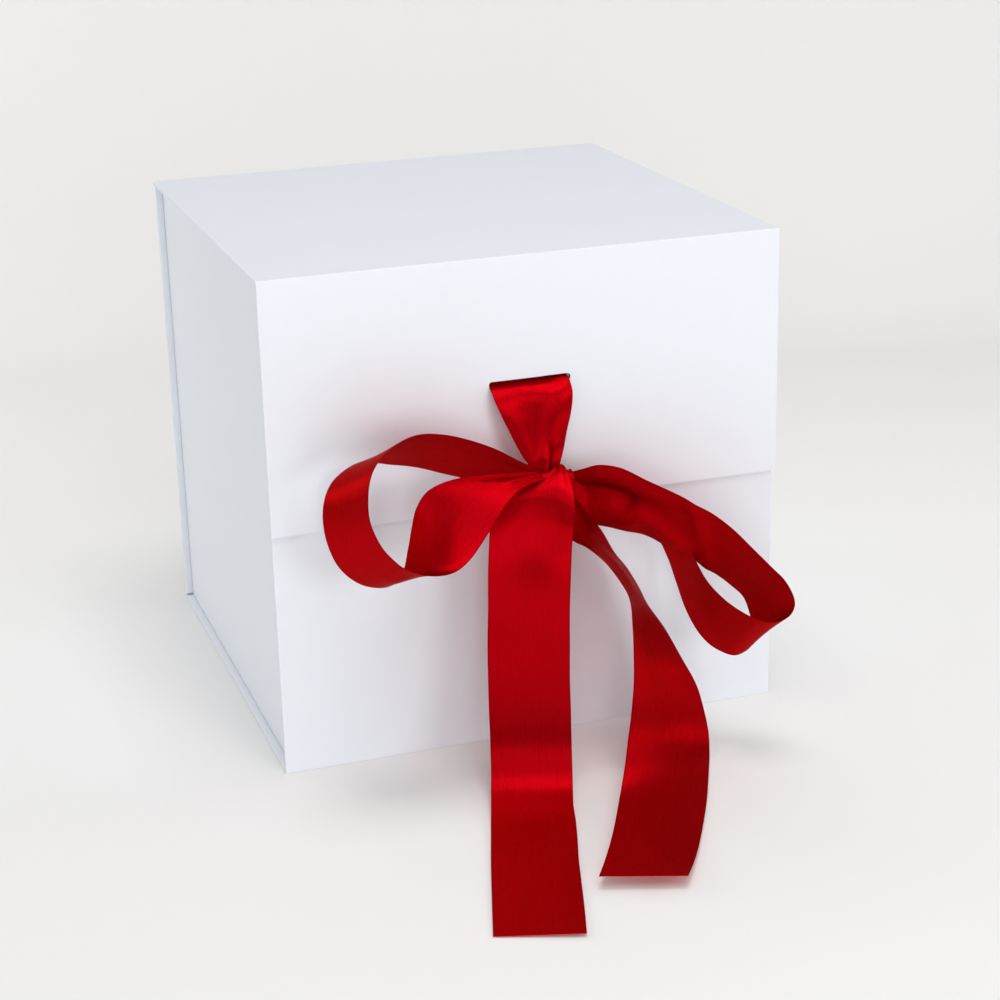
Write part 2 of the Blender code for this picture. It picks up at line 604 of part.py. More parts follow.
def make_knot(place):
    """A squeezed, rounded knot from a coarse cage."""
    bm = bmesh.new()
    bmesh.ops.create_cube(bm, size=1.0)
    bmesh.ops.subdivide_edges(bm, edges=bm.edges, cuts=1, use_grid_fill=True)
    size = Vector((KNOT_WIDTH, KNOT_DEPTH, KNOT_HEIGHT))
    centre = Vector((KNOT_SIDE, FLAP_Y - KNOT_OUT, KNOT_Z))
    for vertex in bm.verts:
        vertex.co = centre + Vector(vertex.co[i] * size[i] for i in range(3))
    knot = add_object("ribbon_knot", bm, place["parts"], place["parent"], place["satin"])
    knot.matrix_parent_inverse = place["parent"].matrix_world.inverted()
    subdivide = knot.modifiers.new("rounding", "SUBSURF")
    subdivide.levels = 2
    subdivide.render_levels = 2
    knot.data.shade_smooth()


def build():
    """Empty the scene and make the whole box."""
    for old in list(bpy.data.objects):
        bpy.data.objects.remove(old, do_unlink=True)
    parts = bpy.data.collections.new("magnetic_gift_box")
    cutters = bpy.data.collections.new("cutters")
    for group in (parts, cutters):
        bpy.context.scene.collection.children.link(group)
    place = {
        "parts": parts,
        "cutters": cutters,
        "paper": add_material("white_paper", (0.86, 0.87, 0.90), 0.62),
        "liner": add_material("lining_paper", (0.88, 0.88, 0.89), 0.7),
        "board": add_material("greyboard", (0.42, 0.39, 0.35), 0.9),
        "steel": add_material("plated_steel", (0.6, 0.6, 0.62), 0.3, 1.0),
        "tape": add_material("adhesive_tape", (0.8, 0.79, 0.74), 0.5),
        "satin": add_material("red_satin", (0.42, 0.0, 0.01), 0.38),
    }
    make_tray(place)
    make_side_wall("left", -1, place)
    make_side_wall("right", 1, place)
    make_insert(place)
    lid_axis = make_lid(place)
    flap_axis = make_flap(place, lid_axis)
    ribbon_place = dict(place, parent=flap_axis)
    make_upper_strand(ribbon_place)
    make_under_strand(ribbon_place)
    make_knot(ribbon_place)
    make_bow(ribbon_place)


build()
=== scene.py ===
"""Looks of a magnetic gift box tied with a satin ribbon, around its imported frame.

The frame's boards, papers, discs and tapes keep their shapes and get their finishes here. The ribbon's
plain solids give way to satin sheets of the same course, and strips of paper close the case's folds.
"""

import json
import math

import bpy
import numpy as np
from bpy.props import FloatProperty, FloatVectorProperty, PointerProperty
from mathutils import Matrix, Vector


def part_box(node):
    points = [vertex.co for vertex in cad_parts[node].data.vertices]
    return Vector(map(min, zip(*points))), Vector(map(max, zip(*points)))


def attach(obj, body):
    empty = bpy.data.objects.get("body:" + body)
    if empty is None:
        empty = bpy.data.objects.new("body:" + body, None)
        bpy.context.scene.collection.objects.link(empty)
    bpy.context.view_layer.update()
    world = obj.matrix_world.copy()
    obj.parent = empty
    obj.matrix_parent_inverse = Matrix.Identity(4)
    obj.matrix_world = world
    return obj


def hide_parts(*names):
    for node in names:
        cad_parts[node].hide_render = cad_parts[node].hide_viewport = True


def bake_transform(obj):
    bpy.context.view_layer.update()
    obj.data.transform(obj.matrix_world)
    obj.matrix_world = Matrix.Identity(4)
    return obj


bl_info = {
    "name": "Magnetic gift box",
    "version": (1, 0, 0),
    "blender": (4, 5, 0),
    "location": "View3D > Sidebar > Gift box",
    "description": "Paper, satin ribbon and stage of a magnetic gift box",
    "category": "Object",
}

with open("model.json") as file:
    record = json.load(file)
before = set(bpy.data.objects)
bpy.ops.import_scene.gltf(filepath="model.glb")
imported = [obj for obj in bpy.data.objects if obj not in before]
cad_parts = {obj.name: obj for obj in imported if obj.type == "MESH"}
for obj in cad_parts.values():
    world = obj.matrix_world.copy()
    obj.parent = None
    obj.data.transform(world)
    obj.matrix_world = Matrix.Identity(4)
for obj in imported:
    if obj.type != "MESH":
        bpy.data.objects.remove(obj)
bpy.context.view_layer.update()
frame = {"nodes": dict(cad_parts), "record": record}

# Places taken from the frame
FLAP_LOW, FLAP_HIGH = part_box("flap_wrap")
LID_LOW, LID_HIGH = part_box("lid_wrap")
BASE_LOW, BASE_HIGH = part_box("base_wrap")
FRONT_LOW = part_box("front_wrap")[0]
BACK_LOW, BACK_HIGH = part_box("back_wrap")
FLAP_FACE = FLAP_LOW.y
FLAP_BOTTOM = FLAP_LOW.z
FLAP_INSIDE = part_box("flap_liner")[1].y
TRAY_FRONT = FRONT_LOW.y

MM = 0.001

# Edges that turn by less than this are shaded smooth
SMOOTH_ANGLE = math.radians(50)

# The wrapping paper and the outside of its folds
PAPER_THICKNESS = 0.15 * MM
FOLD_RADIUS = LID_HIGH.z - FLAP_HIGH.z
FOLD_STEPS = 6

# Fibre scale, mottle, roughness and bump strength of the papers, the boards and the tape
WRAP_GRAIN = (1400.0, 0.02, 0.42, 0.25)
LINING_GRAIN = (900.0, 0.03, 0.6, 0.4)
BOARD_GRAIN = (500.0, 0.35, 0.8, 0.8)
TAPE_GRAIN = (700.0, 0.06, 0.35, 0.2)
PAPER_BUMP = 0.05 * MM
PAPER_SPECULAR = 0.35
MOTTLE_SCALE = 60.0
FIBRE_ROUGHNESS = 0.12

# The discs' plating: the scale of its grain, its least roughness and what the grain adds
PLATING_SCALE = 1500.0
PLATING_ROUGHNESS = 0.18
PLATING_SWING = 0.25

# The satin's ribs for each ribbon width and their slant, and its streaks for each ribbon width
RIBS = 38.0
RIB_SLANT = 0.6
STREAKS = 140.0
# How far the threads' gloss spreads, and the satin's own roughness
THREAD_SPREAD = 0.3
SATIN_ROUGHNESS = 0.3
# Its gloss, which is mostly of the ribbon's own colour
SATIN_METALLIC = 0.8
SATIN_SPECULAR = 0.02
SATIN_TINT = (1.0, 0.02, 0.04, 1.0)
# The woven edge's width as a share of the ribbon's
EDGE_WIDTH_SHARE = 0.014
# Heights of rib, streak and woven edge, and the bump that they stand for
RIB_HEIGHT = 0.5
STREAK_HEIGHT = 0.06
EDGE_HEIGHT = 1.2
SATIN_BUMP = 0.04 * MM
SATIN_BUMP_STRENGTH = 0.5
# What streaks and edges change of the tone and of the roughness
STREAK_TONE = 0.04
EDGE_TONE = 0.25
STREAK_ROUGHNESS = 0.2
EDGE_ROUGHNESS = 0.15
# Painted shade of the satin: its tone where it is faced and where it is seen along its surface, darker at
# grazing views in place of the shade its threads cast on each other
FACED_PAINTED_TONE = 1.04
GRAZED_PAINTED_SHADE = 0.45

# Squares across a sheet, points on an edge's curve and rows of squares for each pair of points given
SHEET_STEPS = 28
CURVE_STEPS = 24
ROW_STEPS = 10
LEAST_ROWS = 16

# The bow's loops: (across, out, up) of the near edge and of the far edge,
# in ribbon widths from the knot's centre
LEFT_LOOP_SHARES = (
    ((-0.04, -0.06, 0.12), (-0.04, -0.18, 0.02)),
    ((-0.24, 0.02, 0.20), (-0.22, -0.20, 0.01)),
    ((-0.54, 0.16, 0.39), (-0.50, -0.27, 0.00)),
    ((-0.92, 0.33, 0.65), (-0.92, -0.27, 0.06)),
    ((-1.29, 0.47, 0.85), (-1.34, -0.24, 0.21)),
    ((-1.63, 0.59, 0.99), (-1.74, -0.19, 0.37)),
    ((-1.95, 0.70, 1.06), (-2.10, -0.10, 0.48)),
    ((-2.24, 0.81, 1.02), (-2.46, -0.01, 0.58)),
    ((-2.49, 0.93, 0.89), (-2.77, 0.10, 0.49)),
    ((-2.63, 1.01, 0.70), (-2.95, 0.21, 0.33)),
    ((-2.69, 1.10, 0.44), (-3.03, 0.30, 0.07)),
    ((-2.68, 1.16, 0.21), (-3.00, 0.36, -0.26)),
    ((-2.58, 1.19, -0.05), (-2.87, 0.39, -0.57)),
    ((-2.44, 1.19, -0.24), (-2.62, 0.39, -0.80)),
    ((-2.28, 1.19, -0.38), (-2.30, 0.36, -0.88)),
    ((-2.01, 1.16, -0.50), (-2.11, 0.33, -0.74)),
    ((-1.72, 1.10, -0.53), (-2.04, 0.36, -0.46)),
    ((-1.48, 1.01, -0.44), (-1.99, 0.41, -0.15)),
    ((-1.21, 0.84, -0.24), (-1.94, 0.47, 0.10)),
    ((-0.96, 0.67, -0.02), (-1.78, 0.47, 0.29)),
    ((-0.76, 0.53, 0.10), (-1.47, 0.39, 0.35)),
    ((-0.56, 0.39, 0.14), (-1.07, 0.30, 0.33)),
    ((-0.34, 0.25, 0.14), (-0.57, 0.17, 0.25)),
    ((-0.16, 0.17, 0.10), (-0.26, 0.06, 0.20)),
    ((-0.02, 0.10, 0.06), (-0.04, -0.02, 0.14)),
)
RIGHT_LOOP_SHARES = (
    ((0.04, -0.02, 0.08), (0.04, -0.14, -0.08)),
    ((0.16, 0.02, 0.12), (0.20, -0.24, -0.28)),
    ((0.29, 0.10, 0.17), (0.40, -0.32, -0.58)),
    ((0.43, 0.27, 0.25), (0.58, -0.27, -0.69)),
    ((0.66, 0.41, 0.22), (0.73, -0.16, -0.72)),
    ((0.93, 0.53, 0.07), (0.91, -0.07, -0.77)),
    ((1.16, 0.64, -0.05), (1.14, -0.01, -0.85)),
    ((1.42, 0.73, -0.20), (1.35, 0.07, -0.97)),
    ((1.65, 0.84, -0.35), (1.54, 0.16, -1.08)),
    ((1.88, 0.96, -0.55), (1.72, 0.27, -1.19)),
    ((2.11, 1.07, -0.81), (1.94, 0.36, -1.36)),
    ((2.30, 1.19, -1.03), (2.12, 0.44, -1.52)),
    ((2.45, 1.27, -1.21), (2.25, 0.50, -1.67)),
    ((2.54, 1.33, -1.44), (2.32, 0.56, -1.92)),
    ((2.50, 1.33, -1.61), (2.38, 0.56, -2.13)),
    ((2.36, 1.30, -1.70), (2.37, 0.53, -2.29)),
    ((2.20, 1.24, -1.71), (2.27, 0.50, -2.40)),
    ((2.06, 1.13, -1.66), (2.12, 0.44, -2.45)),
    ((1.92, 0.96, -1.58), (1.92, 0.27, -2.36)),
    ((1.81, 0.76, -1.48), (1.79, 0.10, -2.19)),
    ((1.71, 0.56, -1.33), (1.71, -0.10, -1.94)),
    ((1.65, 0.36, -1.13), (1.64, -0.24, -1.61)),
    ((1.61, 0.19, -0.94), (1.56, -0.33, -1.30)),
    ((1.48, 0.01, -0.74), (1.42, -0.41, -1.01)),
    ((1.21, -0.10, -0.53), (1.09, -0.41, -0.78)),
    ((0.80, -0.19, -0.32), (0.71, -0.40, -0.56)),
    ((0.46, -0.21, -0.15), (0.44, -0.36, -0.35)),
)

# The tails: (across, out) in ribbon widths from the knot, and the height above the surface
# that the box stands on, as a share of the height of the knot's centre for the front tail
# and of its underside for the right one
FRONT_TAIL_SHARES = (
    ((-0.05, -0.12, 1.050), (0.05, -0.12, 1.055)),
    ((-0.09, 0.05, 1.060), (0.05, 0.05, 1.062)),
    ((-0.18, 0.13, 1.052), (0.05, 0.18, 1.050)),
    ((-0.36, 0.11, 1.048), (0.05, 0.30, 1.020)),
    ((-0.61, 0.10, 1.028), (0.04, 0.42, 0.985)),
    ((-0.82, 0.15, 0.985), (0.01, 0.53, 0.94)),
    ((-0.95, 0.22, 0.921), (-0.033, 0.60, 0.892)),
    ((-0.995, 0.25, 0.83), (-0.064, 0.61, 0.83)),
    ((-1.027, 0.28, 0.7367), (-0.09, 0.625, 0.7288)),
    ((-1.06, 0.34, 0.6138), (-0.133, 0.685, 0.6064)),
    ((-1.102, 0.41, 0.4989), (-0.165, 0.755, 0.4913)),
    ((-1.134, 0.49, 0.3806), (-0.202, 0.835, 0.3806)),
    ((-1.166, 0.59, 0.2677), (-0.232, 0.935, 0.2678)),
    ((-1.191, 0.68, 0.1941), (-0.264, 1.025, 0.1947)),
    ((-1.227, 0.79, 0.1423), (-0.301, 1.135, 0.143)),
    ((-1.275, 0.94, 0.0965), (-0.353, 1.285, 0.0975)),
    ((-1.343, 1.13, 0.0575), (-0.42, 1.475, 0.0585)),
    ((-1.422, 1.36, 0.0326), (-0.501, 1.705, 0.0337)),
    ((-1.513, 1.626, 0.014), (-0.57, 1.97, 0.014)),
    ((-1.681, 2.127, 0.008), (-0.734, 2.473, 0.008)),
    ((-1.818, 2.536, 0.008), (-0.866, 2.858, 0.008)),
    ((-2.099, 3.411, 0.006), (-1.143, 3.75, 0.008)),
    ((-2.305, 4.062, 0.004), (-1.362, 4.422, 0.014)),
)
RIGHT_TAIL_SHARES = (
    ((0.00, 0.00, 1.04), (0.18, -0.10, 1.04)),
    ((0.01, 0.06, 0.99), (0.31, -0.16, 0.96)),
    ((-0.02, 0.20, 0.94), (0.49, -0.20, 0.885)),
    ((0.01, 0.40, 0.88), (0.66, -0.24, 0.81)),
    ((0.17, 0.50, 0.85), (0.80, -0.22, 0.73)),
    ((0.35, 0.60, 0.80), (0.94, -0.16, 0.67)),
    ((0.51, 0.68, 0.73), (1.06, -0.07, 0.60)),
    ((0.61, 0.78, 0.66), (1.13, 0.06, 0.54)),
    ((0.61, 0.87, 0.56), (1.27, 0.27, 0.463)),
    ((0.596, 0.93, 0.457), (1.433, 0.42, 0.3562)),
    ((0.598, 0.92, 0.3577), (1.63, 0.44, 0.2399)),
    ((0.56, 0.96, 0.2817), (1.706, 0.52, 0.1401)),
    ((0.489, 1.07, 0.2241), (1.699, 0.68, 0.0709)),
    ((0.387, 1.24, 0.1802), (1.607, 0.92, 0.0336)),
    ((0.235, 1.52, 0.1269), (1.441, 1.282, 0.022)),
    ((-0.013, 1.962, 0.072), (1.046, 2.107, 0.014)),
    ((-0.355, 2.62, 0.054), (0.577, 2.989, 0.02)),
    ((-0.638, 3.124, 0.05), (0.28, 3.502, 0.034)),
    ((-0.872, 3.51, 0.05), (0.06, 3.847, 0.048)),
)

# The strand from the slot to the knot: half its width in ribbon widths,
# its way out and its way down as shares of the way to the knot
UPPER_STRAND_SHARES = (
    (0.50, 0.03, 0.00),
    (0.50, 0.15, 0.035),
    (0.49, 0.36, 0.15),
    (0.44, 0.52, 0.34),
    (0.35, 0.65, 0.60),
    (0.27, 0.80, 0.82),
    (0.20, 0.92, 0.97),
    (0.13, 0.98, 1.20),
)
# The strand from the flap's lower edge up to the knot, in the same way
LOWER_STRAND_SHARES = (
    (0.44, 0.12, 0.10),
    (0.34, 0.40, 0.26),
    (0.22, 0.74, 0.42),
    (0.15, 0.97, 0.66),
)
# Steps of the strand's turn round the flap's lower edge
EDGE_STEPS = 8

# How far the strand rises inside the slot and how far left of its middle it leaves it, in ribbon widths
SLOT_LIFT_SHARE = 0.04
SLOT_LEFT_SHARE = 0.022

# Folds of the ribbon: (across, along) of a ridge's start and of its end, its half width and its height,
# all in ribbon widths. A dent has a height below zero, and along counts back from the end below zero.
UPPER_FOLD_SHARES = (
    (0.95, 0.15, 0.50, 1.10, 0.16, 0.050),
    (0.50, 1.10, 0.45, 1.35, 0.12, 0.040),
    (0.78, 0.95, 0.70, 1.30, 0.10, -0.040),
    (0.35, 0.45, 0.50, 0.50, 0.22, -0.025),
    (0.10, 0.50, 0.30, 1.20, 0.14, 0.015),
)
LEFT_FOLD_SHARES = (
    (0.50, 0.50, 0.50, 3.00, 0.45, 0.020),
    (0.55, 4.60, 0.45, 5.80, 0.35, -0.035),
    (0.35, -0.90, 0.50, 0.00, 0.12, 0.030),
    (0.75, -0.90, 0.70, 0.00, 0.10, -0.030),
)
RIGHT_FOLD_SHARES = (
    (0.45, 0.10, 0.52, 0.95, 0.15, 0.110),
    (0.85, 0.20, 0.80, 1.00, 0.20, -0.060),
    (0.60, 1.05, 0.85, 1.70, 0.14, -0.050),
    (0.15, 0.30, 0.20, 1.30, 0.14, -0.020),
    (0.10, 1.70, 0.95, 2.30, 0.12, -0.030),
)
FRONT_FOLD_SHARES = (
    (0.30, 0.70, 0.72, 0.60, 0.25, 0.050),
    (0.14, 1.20, 0.30, 0.80, 0.18, 0.030),
    (0.97, 0.75, 0.97, 1.40, 0.12, 0.020),
    (0.64, 1.15, 0.58, 1.35, 0.30, -0.050),
)
RIGHT_TAIL_FOLD_SHARES = (
    (0.50, 0.00, 0.50, 1.50, 0.25, 0.030),
    (0.45, 2.00, 0.60, 3.60, 0.30, -0.025),
)
KNOT_FOLD_SHARES = ((0.5, -0.2, 0.5, 1.4, 0.33, 0.055),)

# Pleats at the ribbon's gathered ends: how many, their height and their reach in ribbon widths
LOOP_PLEATS = (2, 0.02, 0.5)
TAIL_PLEATS = (2, 0.015, 0.4)
STRAND_PLEATS = (2, 0.02, 0.4)
KNOT_START_PLEATS = (2, 0.012, 9.0)
KNOT_END_PLEATS = (1, 0.008, 9.0)
NO_PLEATS = (0, 0.0, 1.0)

# The knot's width and the height of its rims as shares of its solid's, and how much of the ribbon's
# flat area shows once it is gathered
KNOT_WIDTH_SHARE = 0.86
KNOT_EDGE_SHARE = 0.70
KNOT_STEPS = 16

# The stage's sweep: its half width, its way to the front and its height, how far behind the origin
# its wall stands, and the radius and steps of the bend between floor and wall
SWEEP_HALF_WIDTH = 4.0
SWEEP_REACH = 3.0
SWEEP_BACK = 0.75
SWEEP_BEND = 0.25
SWEEP_STEPS = 12
FLOOR_ROUGHNESS = 0.6
FLOOR_SPECULAR = 0.2
# The heights of a view's direction between which gloss goes from the floor's light to the studio's
HORIZON_LOW = -0.15
HORIZON_HIGH = 0.1

# The soft lamps: name, power setting, size, place, the point it looks at, and whether gloss shows it
LAMPS = (
    ("front_left_lamp", "front_power", 0.45, (-0.4, -1.45, 0.34), (0.0, 0.0, 0.1), False),
    ("front_right_lamp", "front_power", 0.45, (0.4, -1.45, 0.34), (0.0, 0.0, 0.1), False),
    ("overhead_lamp", "overhead_power", 0.55, (0.0, -0.25, 1.5), (0.0, -0.1, 0.1), True),
    ("top_lamp", "top_power", 0.6, (-0.05, -0.95, 1.1), (0.0, -0.1, 0.15), True),
    ("side_lamp", "side_power", 0.4, (-0.9, 0.7, 0.38), (0.0, 0.0, 0.1), True),
    ("right_lamp", "right_power", 0.28, (0.95, -0.22, 0.4), (0.0, -0.15, 0.05), True),
)

# The camera's place, turns in degrees and lens in millimetres
CAMERA_PLACE = (-298.0 * MM, -976.9 * MM, 432.6 * MM)
CAMERA_AZIMUTH = 18.1882
CAMERA_ELEVATION = 19.349
CAMERA_ROLL = -1.5547
CAMERA_LENS = 80.19
CAMERA_SENSOR = 36.0


def length_property(name, description, default):
    """A setting in metres."""
    return FloatProperty(name=name, description=description, default=default, unit="LENGTH")


def colour_property(name, description, default):
    """A setting that is a colour."""
    return FloatVectorProperty(name=name, description=description, subtype="COLOR", size=3, default=default)


def strength_property(name, description, default):
    """A setting that is a light's strength."""
    return FloatProperty(name=name, description=description, default=default, min=0.0)


def power_property(name, description, default):
    """A setting that is a lamp's power in watts."""
    return FloatProperty(name=name, description=description, default=default, unit="POWER")


class BowSizes(bpy.types.PropertyGroup):
    """Sizes of the ribbon and of its bow."""

    ribbon_width: length_property("Ribbon width", "Width of the satin ribbon", 0.035)
    ribbon_thickness: length_property("Ribbon thickness", "Thickness of the satin", 0.0003)
    knot_side: length_property("Knot side", "Knot's centre right of the box's middle", 0.0056)
    knot_out: length_property("Knot out", "Knot's centre in front of the flap", 0.0185)
    knot_rise: length_property("Knot rise", "Knot's centre above the flap's lower edge", 0.0148)
    knot_size: length_property("Knot size", "Width and height of the knot", 0.0136)


class BoxColours(bpy.types.PropertyGroup):
    """Colours of the papers, boards and ribbon."""

    paper: colour_property("Paper", "Wrapping paper", (0.83, 0.865, 0.92))
    lining: colour_property("Lining", "Lining paper", (0.86, 0.86, 0.87))
    board: colour_property("Board", "Grey board", (0.36, 0.34, 0.31))
    ribbon: colour_property("Ribbon", "Satin ribbon", (0.67, 0.001, 0.007))
    metal: colour_property("Metal", "Magnets and discs", (0.62, 0.61, 0.59))
    tape: colour_property("Tape", "Double-sided tape", (0.78, 0.76, 0.7))


class StageSettings(bpy.types.PropertyGroup):
    """Floor, backdrop and lamps."""

    floor: colour_property("Floor", "Floor and backdrop", (0.87, 0.863, 0.855))
    ambient: strength_property("Ambient", "Strength of the surrounding light", 0.46)
    mirrored: strength_property("Mirrored ambient", "Strength of the surroundings as seen in gloss", 0.12)
    mirrored_floor: strength_property("Mirrored floor", "Strength of the floor as seen in gloss", 0.8)
    front_power: power_property("Front lamp", "Power of each front lamp", 3.15)
    top_power: power_property("Top lamp", "Power of the lamp high in front", 2.8)
    side_power: power_property("Side lamp", "Power of the left lamp", 2.5)
    right_power: power_property("Right lamp", "Power of the right lamp", 1.05)
    overhead_power: power_property("Overhead lamp", "Power of the lamp above", 5.9)


def principled(name, colour, roughness):
    """A new material, its node tree and its shader."""
    material = bpy.data.materials.new(name)
    material.use_nodes = True
    material.diffuse_color = (*colour, 1.0)
    tree = material.node_tree
    shader = tree.nodes["Principled BSDF"]
    shader.inputs["Base Color"].default_value = (*colour, 1.0)
    shader.inputs["Roughness"].default_value = roughness
    return material, tree, shader


def add_node(tree, kind, inputs=None, **settings):
    """A node with its settings, and inputs that are values or other nodes' outputs."""
    node = tree.nodes.new(kind)
    for name, value in settings.items():
        setattr(node, name, value)
    for key, value in (inputs or {}).items():
        if isinstance(value, bpy.types.NodeSocket):
            tree.links.new(value, node.inputs[key])
        else:
            node.inputs[key].default_value = value
    return node


def new_group(name, inputs, outputs):
    """A shader node group with named inputs (float default or colour) and outputs."""
    group = bpy.data.node_groups.new(name, "ShaderNodeTree")
    for socket, default in inputs:
        kind = "NodeSocketColor" if isinstance(default, tuple) else "NodeSocketFloat"
        made = group.interface.new_socket(socket, in_out="INPUT", socket_type=kind)
        made.default_value = default
    for socket, kind in outputs:
        group.interface.new_socket(socket, in_out="OUTPUT", socket_type=kind)
    return group, group.nodes.new("NodeGroupInput"), group.nodes.new("NodeGroupOutput")


def paper_group():
    """Fibre and mottle of a coated paper, on the object's own coordinates."""
    group, start, end = new_group(
        "paper_surface",
        [("Colour", (0.8, 0.8, 0.8, 1.0)), ("Fibre scale", 900.0), ("Mottle", 0.02), ("Roughness", 0.5)],
        [("Colour", "NodeSocketColor"), ("Roughness", "NodeSocketFloat"), ("Height", "NodeSocketFloat")],
    )
    place = add_node(group, "ShaderNodeTexCoord").outputs["Object"]
    mottle = add_node(
        group,
        "ShaderNodeTexNoise",
        {"Vector": place, "Scale": MOTTLE_SCALE, "Detail": 5.0, "Roughness": 0.6},
    )
    fibre = add_node(
        group,
        "ShaderNodeTexNoise",
        {"Vector": place, "Scale": start.outputs["Fibre scale"], "Detail": 3.0, "Roughness": 0.7},
    )
    grains = {0: mottle.outputs["Fac"], 1: fibre.outputs["Fac"]}
    both = add_node(group, "ShaderNodeMath", grains, operation="ADD")
    swing = add_node(group, "ShaderNodeMath", {0: both.outputs[0], 1: 1.0}, operation="SUBTRACT").outputs[0]
    swing = add_node(group, "ShaderNodeMath", {0: swing, 1: start.outputs["Mottle"]}, operation="MULTIPLY")
    bright = add_node(group, "ShaderNodeMath", {0: swing.outputs[0], 1: 1.0}, operation="ADD")
    colour = add_node(
        group,
        "ShaderNodeVectorMath",
        {0: start.outputs["Colour"], "Scale": bright.outputs[0]},
        operation="SCALE",
    )
    rough = add_node(
        group,
        "ShaderNodeMath",
        {0: fibre.outputs["Fac"], 1: FIBRE_ROUGHNESS, 2: start.outputs["Roughness"]},
        operation="MULTIPLY_ADD",
    )
    group.links.new(colour.outputs[0], end.inputs["Colour"])
    group.links.new(rough.outputs[0], end.inputs["Roughness"])
    group.links.new(both.outputs[0], end.inputs["Height"])
    return group


def satin_group():
    """Weave, thread streaks and woven edges of a satin ribbon, on its own map in ribbon widths."""
    group, start, end = new_group(
        "satin_weave",
        [
            ("Colour", (0.5, 0.0, 0.0, 1.0)),
            ("Threads", RIBS),
            ("Spread", THREAD_SPREAD),
            ("Roughness", SATIN_ROUGHNESS),
        ],
        [
            ("Colour", "NodeSocketColor"),
            ("Roughness", "NodeSocketFloat"),
            ("Height", "NodeSocketFloat"),
            ("Normal", "NodeSocketVector"),
        ],
    )
    place = add_node(group, "ShaderNodeUVMap", uv_map="ribbon_map").outputs["UV"]
    apart = add_node(group, "ShaderNodeSeparateXYZ", {"Vector": place})
    across, along = apart.outputs["X"], apart.outputs["Y"]

    def maths(operation, *values):
        """One more maths node of the group."""
        return add_node(group, "ShaderNodeMath", dict(enumerate(values)), operation=operation).outputs[0]

    # Round threads along the ribbon, far finer than any view of it, which spread the gloss across it
    thread = add_node(
        group, "ShaderNodeTexWhiteNoise", {"Vector": place}, noise_dimensions="2D"
    ).outputs["Value"]
    lean = maths("MULTIPLY", maths("SUBTRACT", thread, 0.5), maths("MULTIPLY", start.outputs["Spread"], 2.0))
    tilt = add_node(group, "ShaderNodeCombineXYZ", {"X": maths("ADD", lean, 0.5), "Y": 0.5, "Z": 1.0})
    leaning = add_node(group, "ShaderNodeNormalMap", {"Color": tilt.outputs[0]}, uv_map="ribbon_map")
    group.links.new(leaning.outputs["Normal"], end.inputs["Normal"])
    # Slanted ribs of the weave
    slant = maths("ADD", across, maths("MULTIPLY", along, RIB_SLANT))
    rib = maths("SINE", maths("MULTIPLY", maths("MULTIPLY", slant, start.outputs["Threads"]), math.tau))
    # Streaks along the ribbon
    streaked = maths("MULTIPLY", across, STREAKS)
    streak_place = add_node(group, "ShaderNodeCombineXYZ", {"X": streaked, "Y": along})
    streak = add_node(
        group, "ShaderNodeTexNoise", {"Vector": streak_place.outputs[0], "Scale": 1.0, "Detail": 4.0}
    ).outputs["Fac"]
    # Woven edges
    from_edge = maths("MINIMUM", across, maths("SUBTRACT", 1.0, across))
    edge = maths("LESS_THAN", from_edge, EDGE_WIDTH_SHARE)
    height = maths("ADD", maths("MULTIPLY", rib, RIB_HEIGHT), maths("MULTIPLY", streak, STREAK_HEIGHT))
    height = maths("ADD", height, maths("MULTIPLY", edge, EDGE_HEIGHT))
    tone = maths("ADD", maths("MULTIPLY", streak, STREAK_TONE), 1.0 - STREAK_TONE / 2)
    tone = maths("SUBTRACT", tone, maths("MULTIPLY", edge, EDGE_TONE))
    colour = add_node(
        group, "ShaderNodeVectorMath", {0: start.outputs["Colour"], "Scale": tone}, operation="SCALE"
    )
    swing = maths("MULTIPLY", maths("SUBTRACT", streak, 0.5), STREAK_ROUGHNESS)
    rough = maths("ADD", start.outputs["Roughness"], swing)
    rough = maths("ADD", rough, maths("MULTIPLY", edge, EDGE_ROUGHNESS))
    group.links.new(colour.outputs[0], end.inputs["Colour"])
    group.links.new(rough, end.inputs["Roughness"])
    group.links.new(height, end.inputs["Height"])
    return group


def place_group(tree, group, shader, values, bump_strength, bump_distance):
    """Put a surface group in a material and feed its shader."""
    node = add_node(tree, "ShaderNodeGroup", node_tree=group)
    for name, value in values.items():
        node.inputs[name].default_value = value
    tree.links.new(node.outputs["Colour"], shader.inputs["Base Color"])
    tree.links.new(node.outputs["Roughness"], shader.inputs["Roughness"])
    bump = add_node(
        tree,
        "ShaderNodeBump",
        {"Strength": bump_strength, "Distance": bump_distance, "Height": node.outputs["Height"]},
    )
    if "Normal" in node.outputs:
        tree.links.new(node.outputs["Normal"], bump.inputs["Normal"])
    tree.links.new(bump.outputs["Normal"], shader.inputs["Normal"])


def group_named(name, maker):
    """The node group of that name, made the first time."""
    return bpy.data.node_groups.get(name) or maker()


def paper_material(name, colour, fibre, mottle, roughness, bump):
    """A paper or board finish."""
    found = bpy.data.materials.get(name)
    if found:
        return found
    material, tree, shader = principled(name, colour, roughness)
    shader.inputs["Specular IOR Level"].default_value = PAPER_SPECULAR
    values = {"Colour": (*colour, 1.0), "Fibre scale": fibre, "Mottle": mottle, "Roughness": roughness}
    place_group(tree, group_named("paper_surface", paper_group), shader, values, bump, PAPER_BUMP)
    return material


def wrapping_paper():
    """The laminated paper outside the case."""
    return paper_material("laminated_paper", tuple(bpy.context.scene.box_colours.paper), *WRAP_GRAIN)


def lining_paper():
    """The uncoated paper inside the case."""
    return paper_material("uncoated_paper", tuple(bpy.context.scene.box_colours.lining), *LINING_GRAIN)


